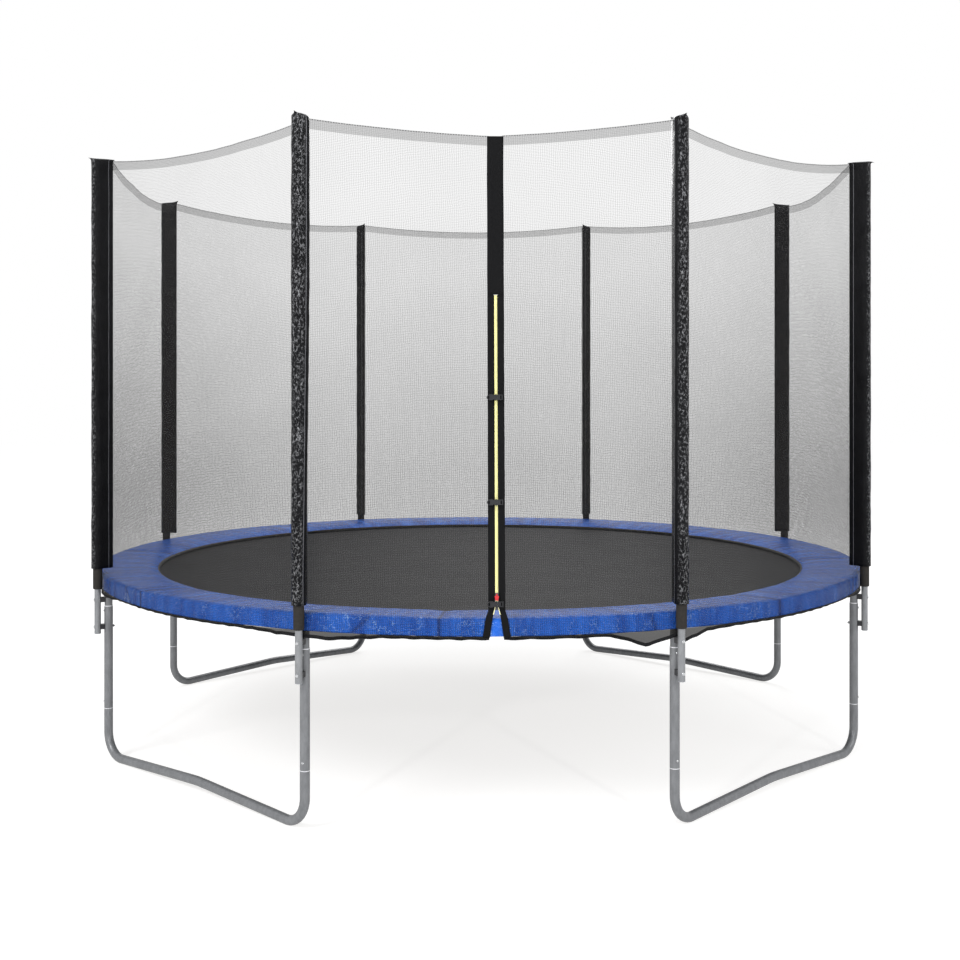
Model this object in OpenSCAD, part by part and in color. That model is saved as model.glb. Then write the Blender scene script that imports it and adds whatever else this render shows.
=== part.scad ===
// Round garden trampoline with a net enclosure on eight poles.
// Origin on the ground at the centre of the ring, +Z up, the zipped door faces -Y.

/* [Ring frame] */
// Outside diameter of the ring frame
ring_d = 3655; // [3300:5:4300]
// Height of the ring tube's centre line above the ground
ring_h = 783; // [740:1:900]
// Outside diameter of the ring tube
rail_d = 38; // [36:0.5:40]
// Wall of the ring and leg tubes
tube_wall = 1.5; // [1.2:0.1:2]
// Diameter of the hole that takes a spring's hook
spring_hole_d = 8; // [7:0.5:9]

/* [Legs] */
// Outside diameter of the upper leg tubes
post_d = 38; // [36:0.5:40]
// Height of the joint between upper leg and base tube
joint_h = 227; // [180:1:260]
// Height of the top end of the upper leg
collar_h = 682; // [672:1:688]
// Bend radius of the base tube at its centre line
bend_r = 105; // [90:1:120]
// Rise angle of the base tube towards its middle
rise = 2.4; // [1:0.1:3]
// Length that one leg tube reaches into the next
leg_insert = 50; // [45:1:60]

/* [Enclosure poles] */
// Outside diameter of the poles
pole_d = 28; // [24:0.5:28]
// Wall of the poles
pole_wall = 1.2; // [1:0.1:1.6]
// Height of the lower end of the poles
pole_bottom = 562; // [540:1:570]
// Height of the joint between lower and upper pole
pole_joint = 1620; // [1400:5:1800]
// Length that the upper pole reaches into the lower pole
pole_insert = 60; // [40:1:90]
// Height of the upper end of the poles
pole_top = 2664; // [2300:1:2800]
// Clear gap between an upper leg and its pole
pole_gap = 14; // [13:0.5:20]
// Height of the lower pole bolt
bolt_low = 590; // [585:1:600]
// Height of the upper pole bolt
bolt_high = 710; // [705:1:715]
// Diameter of the pole bolts
bolt_d = 6; // [5:0.5:7]
// Wall of the foam tube round each pole
foam_wall = 6.2; // [5:0.1:6.6]
// Height of the lower end of the foam tubes
foam_bottom = 758; // [750:1:780]
// Height of the upper end of the foam tubes
foam_top = 2600; // [2200:5:2640]

/* [Pole covers and net] */
// Radius of the round part of a pole cover
cover_r = 28; // [26:0.5:32]
// Distance from the pole's axis to the sewn seam of its cover
cover_seam = 66; // [60:1:80]
// Thickness of the cover's fabric
cover_wall = 1.2; // [0.8:0.1:1.6]
// Height of the lower end of the covers
cover_bottom = 850; // [846:1:870]
// Sag of the net's upper edge between two poles
net_sag = 55; // [40:1:90]
// Thickness of the net with its hems
net_t = 1.6; // [1.2:0.1:1.8]

/* [Mat and springs] */
// Radius of the jumping mat's woven sheet
mat_r = 1560; // [1500:1:1570]
// Width of the webbing round the mat's edge
webbing_w = 57; // [50:1:57]
// Thickness of the mat's sheet
mat_t = 1.2; // [0.8:0.1:2]
// Number of springs
springs_n = 72; // [72:8:72]
// Outside diameter of a spring's coil
spring_d = 20; // [16:0.5:20]
// Diameter of the spring wire
wire_d = 3.2; // [2.8:0.1:3.4]

/* [Safety pad] */
// Radius of the pad's inner edge
pad_inner_r = 1557; // [1500:1:1558]
// Height of the pad's skirt below its crown
skirt_drop = 69; // [60:1:71]
// Height of the pad's crown over the ring tube
pad_crown = 19; // [14:0.5:22]
// Thickness of the pad's cover cloth on the skirt
skirt_t = 2.1; // [1.5:0.1:2.2]

/* [Door] */
// Distance of the door's centre line from the middle of the front panel
door_x = 18; // [0:1:30]
// Width of the door's black band
band_w = 62; // [56:1:70]
// Thickness of the door's band
band_t = 2; // [1.5:0.1:2.2]
// Width of the zip's row of teeth
zip_w = 6.4; // [5:0.1:7]
// Length of the zip
zip_len = 1118; // [1100:1:1300]
// Height of the zip's lower end over the pad's edge, along the door
zip_start = 38; // [36:1:40]
// Width of a side release buckle, along the webbing's width
buckle_w = 22; // [20:1:26]

/* [Hidden] */
$fn = 48;

steel = "silver";
plastic = "#1c1c1e";
black_cloth = "#232325";
pad_blue = "#1f55b5";
foam_grey = "#5f5a55";

// Clearance between tubes that slide into each other
fit = 0.25;
// Gap between soft pieces that lie on each other
soft_gap = 0.5;

// Ring of eight legs
legs_n = 8;
pitch = 360 / legs_n;
ring_r = (ring_d - rail_d) / 2;
rail_r = rail_d / 2;
post_r = post_d / 2;
function leg_az(i) = pitch * (i + 0.5);

// The rail's joint lies this many degrees before its leg, and its spigot is this long
rail_lead = 9;
spigot_len = 35;
swage_len = 8;

// Tubes that enter the upper leg from above and below
inner_d = post_d - 2 * tube_wall - 2 * fit;
inner_r = inner_d / 2;
stub_bottom = collar_h - leg_insert - 10;
base_top = joint_h + leg_insert;
screw_d = 4.8;
screw_low = joint_h + 30;
screw_high = collar_h - 22;

// Poles stand outside the legs, joined to them by bolts and spacers
pole_r = pole_d / 2;
pole_at = ring_r + post_r + pole_gap + pole_r;
pole_bore = pole_d - 2 * pole_wall;
bolt_hole_d = bolt_d + 0.6;
nut_af = 1.7 * bolt_d;
nut_h = 0.8 * bolt_d;
cap_h = 3;
foam_r = pole_r + 0.3 + foam_wall;

// Covers and net hang from the poles
seam_r = pole_at - cover_seam;
seam_w = 3;
cover_top = pole_top + cap_h + 0.3 + cover_wall;
net_top = pole_top - 3;

// Pad and net pass between the ring tube and the foam
skirt_in = ring_r + rail_r + 1.9;
skirt_out = skirt_in + skirt_t;
net_in = skirt_out + 1.1;
net_mid = net_in + net_t / 2;
pad_top = ring_h + rail_r + pad_crown;
skirt_bottom = pad_top - skirt_drop;
net_over_pad = pad_top + 4.5;
net_rim = cover_bottom - 2;

// Mat, rings and springs lie at the height of the ring tube's centre line
webbing_r = mat_r + webbing_w;
webbing_t = 4;
loop_r = webbing_r + 7.3;
ring_wire = 4;
ring_base = webbing_r + 1.5;
ring_reach = 38;
hook_r = 5.2;
hook_at = ring_base + ring_reach - ring_wire / 2 - 0.2;
rail_bore_wall = ring_r - rail_r + tube_wall;
hook_top = 6;
spring_hook_at = ring_r - sqrt(pow(rail_r - tube_wall - 0.3, 2) - hook_top * hook_top) + wire_d / 2;
coil_in = hook_at + hook_r + 4.5;
coil_taper = 12;
coil_out = rail_bore_wall - tube_wall - 10;

// Stands children at azimuth a and distance r, with -Y pointing outwards
module at_az(a, r = 0) {
    rotate([0, 0, a]) translate([0, -r, 0]) children();
}

module tube(d, wall, z0, z1) {
    difference() {
        translate([0, 0, z0]) cylinder(d = d, h = z1 - z0);
        translate([0, 0, z0 - 1]) cylinder(d = d - 2 * wall, h = z1 - z0 + 2);
    }
}

module annulus(r, wall) {
    difference() {
        circle(r = r);
        circle(r = r - wall);
    }
}

// A stretch of the ring from azimuth a0 to a1, swept from a section
module ring_sweep(a0, a1) {
    translate([0, 0, ring_h]) rotate([0, 0, a0 - 90])
        rotate_extrude(angle = a1 - a0, $fn = 360) translate([ring_r, 0]) children();
}

// A hole along the radius at height z, from radius r0 to r1 of the ring
module radial_hole(a, z, d, r0, r1) {
    at_az(a, r0) translate([0, 0, z]) rotate([90, 0, 0]) cylinder(d = d, h = r1 - r0);
}

// Ring frame: eight curved rails, each with a spigot for the next and a welded leg stub
module rail(i) {
    a0 = leg_az(i) - rail_lead;
    a1 = a0 + pitch;
    arc_deg = 180 / (PI * ring_r);
    swage_a = a1 - swage_len * arc_deg;
    spigot_a = a1 + spigot_len * arc_deg;
    color(steel) difference() {
        union() {
            ring_sweep(a0 + 0.5 * arc_deg, a1) circle(r = rail_r);
            ring_sweep(a1 - 0.1, spigot_a) circle(r = rail_r - tube_wall - fit);
            at_az(leg_az(i), ring_r) translate([0, 0, stub_bottom])
                cylinder(r = inner_r, h = ring_h - stub_bottom);
        }
        ring_sweep(a0 - 1, swage_a) circle(r = rail_r - tube_wall);
        ring_sweep(swage_a - 0.05, spigot_a + 1) circle(r = rail_r - 2 * tube_wall - fit);
        at_az(leg_az(i), ring_r) translate([0, 0, stub_bottom - 1])
            cylinder(r = inner_r - tube_wall, h = ring_h - rail_r - stub_bottom - 3);
        for (k = [0 : springs_n / legs_n - 1])
            radial_hole(spring_az(i, k), ring_h, spring_hole_d, ring_r - 2 * rail_r, ring_r);
        radial_hole(leg_az(i), bolt_high, bolt_hole_d, ring_r - post_d, ring_r + post_d);
        radial_hole(leg_az(i), screw_high, screw_d + 0.3, ring_r, ring_r + post_d);
    }
}

// The springs are evenly spaced, clear of the rails' joints
spring_pitch = 360 / springs_n;
function spring_az(i, k) = leg_az(i) - rail_lead + spring_pitch * (k + 0.3);

// Upper leg: a straight tube that takes the ring's stub above and the base tube below
module leg_post(i) {
    color(steel) at_az(leg_az(i), ring_r) difference() {
        tube(post_d, tube_wall, joint_h, collar_h);
        translate([0, post_d, bolt_low]) rotate([90, 0, 0]) cylinder(d = bolt_hole_d, h = 2 * post_d);
        for (z = [screw_low, screw_high])
            translate([0, 0, z]) rotate([90, 0, 0]) cylinder(d = screw_d + 0.3, h = post_d);
    }
}

// Base tube: one bent tube between two legs, its ends reduced to enter them, its middle a little raised
module leg_base(j) {
    half = ring_r * sin(pitch / 2);
    mid_r = 900;
    run = (half - bend_r - (bend_r + mid_r) * sin(rise)) / cos(rise);
    end_x = half - bend_r * (1 + sin(rise));
    end_z = post_r + bend_r * (1 - cos(rise));
    shoulder = joint_h - 0.3;
    top_z = end_z + run * sin(rise);
    color(steel) difference() {
        at_az(pitch * (2 * j + 1), ring_r * cos(pitch / 2)) {
            for (side = [0, 1]) mirror([side, 0, 0]) {
                translate([half, 0, 0]) {
                    tube(post_d, tube_wall, post_r + bend_r, shoulder - swage_len);
                    tube(post_d, post_r - inner_r + tube_wall, shoulder - swage_len, shoulder);
                    tube(inner_d, tube_wall, shoulder, base_top);
                }
                translate([half - bend_r, 0, post_r + bend_r])
                    rotate([90, 0, 0]) rotate([0, 0, -90 - rise])
                        rotate_extrude(angle = 90 + rise, $fn = 96)
                            translate([bend_r, 0]) annulus(post_r, tube_wall);
                translate([end_x, 0, end_z]) rotate([0, rise - 90, 0]) tube(post_d, tube_wall, 0, run);
            }
            translate([0, 0, top_z - mid_r * cos(rise)]) rotate([90, 0, 0]) rotate([0, 0, 90 - rise])
                rotate_extrude(angle = 2 * rise, $fn = 360)
                    translate([mid_r, 0]) annulus(post_r, tube_wall);
        }
        for (i = [2 * j, 2 * j + 1])
            radial_hole(leg_az(i), screw_low, screw_d + 0.3, ring_r, ring_r + post_d);
    }
}

module pole_lower(i) {
    color(steel) at_az(leg_az(i), pole_at) difference() {
        tube(pole_d, pole_wall, pole_bottom, pole_joint);
        for (z = [bolt_low, bolt_high])
            translate([0, pole_d, z]) rotate([90, 0, 0]) cylinder(d = bolt_hole_d, h = 2 * pole_d);
    }
}

// Upper pole: its reduced lower end slides into the lower pole
module pole_upper(i) {
    spigot_d = pole_bore - 2 * fit;
    color(steel) at_az(leg_az(i), pole_at) {
        tube(pole_d, pole_wall, pole_joint + fit + swage_len, pole_top);
        tube(pole_d, pole_wall + fit + pole_wall, pole_joint + fit, pole_joint + fit + swage_len);
        tube(spigot_d, pole_wall, pole_joint - pole_insert, pole_joint + fit);
    }
}

// Plastic caps in both ends of each pole
module pole_caps() {
    plug_r = pole_bore / 2 - fit;
    plug_h = 14;
    color(plastic) for (i = [0 : legs_n - 1]) at_az(leg_az(i), pole_at)
        for (end = [0, 1]) translate([0, 0, end == 0 ? pole_bottom : pole_top]) mirror([0, 0, 1 - end])
            rotate_extrude() polygon([[0, -plug_h], [plug_r, -plug_h], [plug_r, 0.2], [pole_r, 0.2],
                [pole_r, cap_h - 1.2], [pole_r - 2, cap_h], [0, cap_h]]);
}

module foam_tubes() {
    color(foam_grey) for (i = [0 : legs_n - 1]) at_az(leg_az(i), pole_at)
        tube(2 * foam_r, foam_wall, foam_bottom, foam_top);
}

// Outline of a pole cover: round over the foam, drawn in to its seam towards the centre
module cover_outline(r, seam, w) {
    lean = asin(r / seam);
    circle(r = r);
    polygon([[-w / 2, seam], [-r * cos(lean), r * sin(lean)], [r * cos(lean), r * sin(lean)], [w / 2, seam]]);
}

module pole_covers() {
    inner = cover_r - cover_wall;
    color(black_cloth) for (i = [0 : legs_n - 1]) at_az(leg_az(i), pole_at) difference() {
        translate([0, 0, cover_bottom]) linear_extrude(cover_top - cover_bottom)
            cover_outline(cover_r, cover_seam, seam_w);
        translate([0, 0, cover_bottom - 1]) linear_extrude(cover_top - cover_wall - cover_bottom + 1)
            cover_outline(inner, cover_seam - 9, 1);
    }
}

// Saddle between leg and pole, hollowed to sit on both tubes
module spacer(z, leg_side_r) {
    width = 22;
    translate([0, 0, z]) difference() {
        translate([-width / 2, 2 - pole_at, -width / 2])
            cube([width, pole_at - ring_r - 4, width]);
        translate([0, -ring_r, -width]) cylinder(r = leg_side_r + 0.1, h = 2 * width);
        translate([0, -pole_at, -width]) cylinder(r = pole_r + 0.1, h = 2 * width);
        translate([0, -ring_r, 0]) rotate([90, 0, 0]) cylinder(d = bolt_hole_d, h = pole_at - ring_r);
    }
}

module pole_spacers() {
    color(plastic) for (i = [0 : legs_n - 1]) rotate([0, 0, leg_az(i)]) {
        spacer(bolt_low, post_r);
        spacer(bolt_high, inner_r);
    }
}

// Dome headed bolt along the radius, its nut on the leg's inner side
module pole_bolt(z, leg_side_r) {
    from_r = ring_r - leg_side_r - nut_h - 4;
    to_r = pole_at + pole_r + 0.2;
    head_r = 1.15 * bolt_d;
    head_h = 0.65 * bolt_d;
    translate([0, 0, z]) rotate([90, 0, 0]) rotate_extrude()
        polygon([[0, from_r], [bolt_d / 2 - 1, from_r], [bolt_d / 2, from_r + 1], [bolt_d / 2, to_r],
            [head_r, to_r], [head_r, to_r + 0.25 * head_h], [0.75 * head_r, to_r + 0.8 * head_h],
            [0.3 * head_r, to_r + head_h], [0, to_r + head_h]]);
}

module pole_bolts() {
    color(steel) for (i = [0 : legs_n - 1]) rotate([0, 0, leg_az(i)]) {
        pole_bolt(bolt_low, post_r);
        pole_bolt(bolt_high, inner_r);
    }
}

module pole_nut(z, leg_side_r) {
    translate([0, -(ring_r - leg_side_r - 0.2), z]) rotate([-90, 0, 0]) difference() {
        cylinder(d = nut_af / cos(30), h = nut_h, $fn = 6);
        translate([0, 0, -1]) cylinder(d = bolt_d + 0.2, h = nut_h + 2);
    }
}

module pole_nuts() {
    color(steel) for (i = [0 : legs_n - 1]) rotate([0, 0, leg_az(i)]) {
        pole_nut(bolt_low, post_r);
        pole_nut(bolt_high, inner_r);
    }
}

// Self tapping screws that lock the leg tubes together
module leg_screws() {
    grip = tube_wall + fit + tube_wall + 3;
    color(steel) for (i = [0 : legs_n - 1], z = [screw_low, screw_high])
        at_az(leg_az(i), ring_r) translate([0, 0, z]) rotate([90, 0, 0]) translate([0, 0, post_r + 0.1])
            rotate_extrude() polygon([[0, -grip], [1, -grip], [screw_d / 2, 1 - grip], [screw_d / 2, 0],
                [screw_d, 0], [screw_d, 1], [0.7 * screw_d, 2.6], [0, 3]]);
}

// Woven jumping mat
module jumping_mat() {
    color("#141416") translate([0, 0, ring_h - mat_t / 2]) cylinder(r = mat_r, h = mat_t, $fn = 180);
}

// Webbing sewn round the mat, with a loop for each ring
module mat_webbing() {
    loop_w = 20;
    color(black_cloth) difference() {
        union() {
            translate([0, 0, ring_h - webbing_t / 2]) difference() {
                cylinder(r = webbing_r, h = webbing_t, $fn = 180);
                translate([0, 0, -1]) cylinder(r = mat_r, h = webbing_t + 2, $fn = 180);
            }
            for (k = [0 : springs_n - 1]) at_az(all_spring_az(k))
                translate([-loop_w / 2, -loop_r, ring_h - webbing_t])
                    cube([loop_w, loop_r - webbing_r + 6, 2 * webbing_t]);
        }
        for (k = [0 : springs_n - 1]) at_az(all_spring_az(k))
            translate([-loop_w, -ring_base - ring_wire - 0.4, ring_h - ring_wire / 2 - 0.3])
                cube([2 * loop_w, ring_wire + 0.8, ring_wire + 0.6]);
    }
}

function all_spring_az(k) = spring_az(0, 0) + spring_pitch * k;

// Triangular wire rings in the webbing's loops
module v_rings() {
    half_w = 19;
    tip = 4;
    color(steel) for (k = [0 : springs_n - 1]) at_az(all_spring_az(k), ring_base)
        translate([0, 0, ring_h - ring_wire / 2]) linear_extrude(ring_wire) difference() {
            polygon([[-half_w, 0], [-tip, -ring_reach], [tip, -ring_reach], [half_w, 0]]);
            polygon([[6.2 - half_w, -ring_wire], [-1.6, ring_wire - ring_reach],
                [1.6, ring_wire - ring_reach], [half_w - 6.2, -ring_wire]]);
        }
}

// Extension springs: an eye round the ring, the coil, and a hook inside the rail
module springs() {
    wire_r = wire_d / 2;
    coil_r = spring_d / 2;
    color(steel) for (k = [0 : springs_n - 1]) at_az(all_spring_az(k)) translate([0, 0, ring_h]) {
        translate([0, -hook_at, 0]) rotate([0, 90, 0]) rotate_extrude($fn = 24)
            translate([hook_r, 0]) circle(r = wire_r, $fn = 16);
        rotate([90, 0, 0]) rotate_extrude($fn = 24)
            polygon([[0, hook_at + hook_r], [wire_r, hook_at + hook_r], [wire_r, coil_in],
                [coil_r, coil_in + coil_taper], [coil_r, coil_out - coil_taper], [wire_r, coil_out],
                [wire_r, spring_hook_at], [0, spring_hook_at]]);
        translate([0, -spring_hook_at, -wire_r]) cylinder(r = wire_r, h = wire_r + hook_top, $fn = 16);
    }
}

// Padded ring over the springs: crown, sunk seams and a skirt over the ring tube
pad_steps = 96;
pad_seams = 8;
pad_seam_az = -6;
seam_dip = 5;
function seam_gap(a) = let (p = 360 / pad_seams, d = a - pad_seam_az) abs(d - p * round(d / p));
function crown_at(a) = -seam_dip * exp(-pow(seam_gap(a) / 2.6, 2));
pad_under = ring_h + rail_r + 1.7;
function pad_profile(a) = let (dz = crown_at(a)) [
    [pad_inner_r, ring_h + 12 + dz / 3],
    [pad_inner_r, ring_h + webbing_t / 2 + soft_gap],
    [webbing_r - 9, ring_h + webbing_t + 0.8],
    [loop_r + 2, ring_h + webbing_t + 2],
    [coil_in + coil_taper, ring_h + spring_d / 2 + soft_gap + 0.4],
    [ring_r - rail_r - 8, pad_under],
    [skirt_in, pad_under],
    [skirt_in, skirt_bottom],
    [skirt_out, skirt_bottom],
    [skirt_out, pad_top - 13],
    [skirt_out - 6, pad_top - 3 + dz / 2],
    [ring_r - 25, pad_top + dz],
    [mix(pad_inner_r, ring_r, 0.284), pad_top - 5 + dz]];
module safety_pad() {
    ring = len(pad_profile(0));
    points = [for (s = [0 : pad_steps - 1]) let (a = s * 360 / pad_steps)
        for (p = pad_profile(a)) [p[0] * sin(a), -p[0] * cos(a), p[1]]];
    faces = [for (s = [0 : pad_steps - 1], k = [0 : ring - 1])
        let (b = s * ring, c = ((s + 1) % pad_steps) * ring, n = (k + 1) % ring)
        for (f = [[b + k, b + n, c + n], [b + k, c + n, c + k]]) f];
    color(pad_blue) polyhedron(points = points, faces = faces, convexity = 4);
}

// Elastic ties that hold the pad to the ring tube
module pad_ties() {
    ties_n = 2 * legs_n;
    tie_w = 10;
    tie_t = 0.9;
    color(black_cloth) for (k = [0 : ties_n - 1]) at_az((k + 0.5) * 360 / ties_n, ring_r)
        translate([0, 0, ring_h]) rotate([0, 90, 0])
            tube(2 * (rail_r + 0.3 + tie_t), tie_t, -tie_w / 2, tie_w / 2);
}

// Net between two poles, gathered under the pad at its lower edge
net_cols = 12;
hem_tuck = 30;
hem_low = skirt_bottom - 9;
edge_deg = (seam_w / 2 + 0.8) * 180 / (PI * seam_r);
function mix(p, q, t) = p + (q - p) * t;
function clamp01(t) = min(1, max(0, t));
function on_ring(r, a) = [r * sin(a), -r * cos(a)];
function net_az(k, u) = mix(leg_az(k) + edge_deg, leg_az(k + 1) - edge_deg, u);
function pull_in(u) = pow(abs(2 * u - 1), 6);
function tuck(u) = clamp01((0.5 - abs(u - 0.5) - 0.03) / 0.09);
// The lower hem hangs deepest beside the front poles
function peak(u, at, w) = max(0, 1 - abs(u - at) / w);
function droop(k, u) = k == legs_n - 1 ? 43 * peak(u, 0.915, 0.1) + 15 * peak(u, 0.08, 0.14)
    : 8 * (peak(u, 0.08, 0.14) + peak(u, 0.92, 0.14)) + (k == 0 ? 10 * peak(u, 0, 0.1) : 0);
// The upper edge sags as a bow between two poles, and as a V over the door
sag_share = [1, 1.16, 0.9, 0.78, 0.76, 1.16, 0.78, 1.16];
function bow(u) = 4 * u * (1 - u);
function net_top_z(k, u) = net_top - net_sag * sag_share[k]
    * (k == legs_n - 1 ? (bow(u) + 1 - abs(2 * u - 1)) / 2 : bow(u));
function net_height(k, u, v) = mix(net_rim, net_top_z(k, u), v);
// Middle of the net's thickness at share u of the way across and v of the way up
function net_wall(k, u, v) = mix(
    mix(on_ring(seam_r, net_az(k, 0)), on_ring(seam_r, net_az(k, 1)), u),
    on_ring(net_mid, net_az(k, u)), (1 - v) * (1 - pull_in(u)));
function net_point(k, u, row, rows, out) =
    let (a = net_az(k, u), t = out * net_t / 2, push = on_ring(t, a), s = tuck(u))
    row == 0 ? concat(on_ring(net_mid - hem_tuck * s + t * (1 - s), a), [hem_low - droop(k, u) - t * s])
    : row == 1 ? concat(on_ring(net_mid + t, a), [skirt_bottom - 4 - t])
    : row == 2 ? concat(on_ring(net_mid + t, a), [net_over_pad])
    : let (v = (row - 3) / (rows - 3)) concat(net_wall(k, u, v) + push, [net_height(k, u, v)]);
module net_panel(k, u0, u1, cols) {
    rows = 5;
    w = cols + 1;
    side = w * (rows + 1);
    points = [for (out = [-1, 1], row = [0 : rows], c = [0 : cols])
        net_point(k, mix(u0, u1, c / cols), row, rows, out)];
    sheet = [for (row = [0 : rows - 1], c = [0 : cols - 1]) let (p = row * w + c)
        for (f = [[p, p + 1, p + w], [p + 1, p + w + 1, p + w]]) f];
    outer = [for (f = sheet) [f[0] + side, f[2] + side, f[1] + side]];
    rim = concat([for (c = [0 : cols - 1]) c], [for (r = [0 : rows - 1]) r * w + cols],
        [for (c = [cols : -1 : 1]) rows * w + c], [for (r = [rows : -1 : 1]) r * w]);
    n = len(rim);
    edge = [for (q = [0 : n - 1]) let (a = rim[q], b = rim[(q + 1) % n])
        for (f = [[a, a + side, b], [b, a + side, b + side]]) f];
    polyhedron(points = points, faces = concat(sheet, outer, edge), convexity = 6);
}

// The front panel is split for the door
door_slit = 52;
module safety_net() {
    front = legs_n - 1;
    panel_w = 2 * seam_r * sin(pitch / 2);
    half_slit = door_slit / 2 / panel_w;
    door_u = 0.5 + door_x / panel_w;
    color(black_cloth) {
        for (k = [0 : front - 1]) net_panel(k, 0, 1, net_cols);
        net_panel(front, 0, door_u - half_slit, net_cols / 2);
        net_panel(front, door_u + half_slit, 1, net_cols / 2);
    }
}

// Door frame of reference: origin on the net over the pad's edge, Z up the sloping net
door_foot = [door_x, net_wall(legs_n - 1, 0.5, 0)[1], net_rim];
door_head = [door_x, net_wall(legs_n - 1, 0.5, 1)[1], net_top_z(legs_n - 1, 0.5)];
door_len = norm(door_head - door_foot);
door_lean = atan2(door_head[1] - door_foot[1], door_head[2] - door_foot[2]);
module on_door() {
    translate(door_foot) rotate([-door_lean, 0, 0]) children();
}

band_in = net_t / 2 + soft_gap;
band_out = band_in + band_t;
band_split = zip_start + zip_len;
teeth_out = band_out + 0.9;
zip_slot = zip_w + 8;

// A box on the door between two distances out from the net
module door_box(x0, x1, out0, out1, s0, s1) {
    translate([x0, -out1, s0]) cube([x1 - x0, out1 - out0, s1 - s0]);
}

// Black band over the door: closed above the zip, two tapes beside it, then two spread straps
module door_band() {
    tape_w = (band_w - zip_slot) / 2;
    strap_w = 26;
    strap_spread = 38;
    strap_y = -(net_mid + net_t / 2 + 0.9 + band_t);
    color(black_cloth) {
        on_door() door_box(-band_w / 2, band_w / 2, band_in, band_out, band_split, door_len);
        for (side = [0, 1]) translate([door_x, 0, 0]) mirror([side, 0, 0]) translate([-door_x, 0, 0]) {
            on_door() door_box(zip_slot / 2, band_w / 2, band_in, band_out, 0, band_split + 1);
            hull() {
                on_door() door_box(zip_slot / 2, zip_slot / 2 + tape_w, band_in, band_out, 0, 1);
                translate([door_x + 0.7 * strap_spread - strap_w / 2, strap_y, net_over_pad])
                    cube([strap_w, band_t, 1]);
            }
            hull() {
                translate([door_x + 0.7 * strap_spread - strap_w / 2, strap_y, net_over_pad])
                    cube([strap_w, band_t, 1]);
                translate([door_x + strap_spread - strap_w / 2, strap_y, skirt_bottom - 4])
                    cube([strap_w, band_t, 1]);
            }
        }
    }
}

// Yellow row of zip teeth on its tape
module zip_teeth() {
    wing = 2.6;
    color("#e8dc6a") on_door() {
        door_box(-zip_w / 2, zip_w / 2, net_t / 2 - 0.6, teeth_out, zip_start, band_split - 2);
        door_box(-zip_slot / 2 - wing, zip_slot / 2 + wing, net_t / 2 - 0.6, net_t / 2 + 0.2,
            zip_start, band_split - 2);
    }
}

// Slider on the teeth, with two ears and a pin for its pull
slider_h = 20;
slider_start = zip_start + 4;
slider_out = teeth_out + 3.8;
pin_s = slider_start + slider_h - 5;
pin_out = slider_out + 2.2;
pin_r = 1.2;
module zip_slider() {
    slider_w = zip_w + 6.4;
    ear = 2;
    color(steel) on_door() {
        difference() {
            door_box(-slider_w / 2, slider_w / 2, band_in + 0.3, slider_out, slider_start, slider_start + slider_h);
            door_box(-zip_w / 2 - 0.3, zip_w / 2 + 0.3, 0, teeth_out + 0.3, 0, slider_start + slider_h + 1);
        }
        for (x = [-3 - ear, 3])
            door_box(x, x + ear, slider_out - 0.5, slider_out + 4.4, pin_s - 3.5, pin_s + 3.5);
        translate([-4, -pin_out, pin_s]) rotate([0, 90, 0]) cylinder(r = pin_r, h = 8, $fn = 24);
    }
}

// Red pull tab, hinged on the slider's pin
module zip_pull() {
    eye_r = pin_r + 1.5;
    tab_w = 16;
    tab_len = 22;
    color("#c81f28") on_door() translate([0, -pin_out, pin_s]) difference() {
        union() {
            translate([-2.6, 0, 0]) rotate([0, 90, 0]) cylinder(r = eye_r - 0.6, h = 5.2, $fn = 32);
            translate([-2.6, -1, -eye_r - 4]) cube([5.2, 2, eye_r + 4]);
            translate([0, 1, 0]) rotate([90, 0, 0]) linear_extrude(2)
                polygon([[-tab_w / 2, -eye_r - 2.5], [tab_w / 2, -eye_r - 2.5], [tab_w / 3, -tab_len],
                    [-tab_w / 3, -tab_len]]);
        }
        translate([-4, 0, 0]) rotate([0, 90, 0]) cylinder(r = pin_r + 0.15, h = 8, $fn = 32);
    }
}

// Three side release buckles cross the door in front of the zip
buckle_s = [zip_start - 16, 389, 772];
buckle_in = pin_out + 3.2;
buckle_t = 9;
buckle_out = buckle_in + buckle_t;
arm_reach = 17;
module buckle_straps() {
    tab = 6;
    color(black_cloth) on_door() for (s = buckle_s, x = [-30, 22 - tab])
        door_box(x, x + tab, band_out + 0.3, buckle_in - 0.3, s - 10, s + 10);
}

// Sockets on the left, each with a mouth for the plug's arms and a bar for its strap
module buckle_sockets() {
    half = buckle_w / 2;
    color(plastic) on_door() for (s = buckle_s) difference() {
        union() {
            door_box(-26, 2, buckle_in, buckle_out, s - half, s + half);
            translate([-26, -buckle_in, s]) rotate([90, 0, 0]) cylinder(r = half - 2, h = buckle_t);
        }
        door_box(-arm_reach - 2, 3, buckle_in + 2.2, buckle_out - 2.2, s - half + 2.4, s + half - 2.4);
        door_box(-30, -25, buckle_in - 1, buckle_out + 1, s - half + 5, s + half - 5);
        for (side = [-1, 1])
            translate([-9, -buckle_out - 1, s + side * (half + 2.5)]) rotate([-90, 0, 0])
                cylinder(r = 5.5, h = buckle_t + 2);
    }
}

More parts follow.
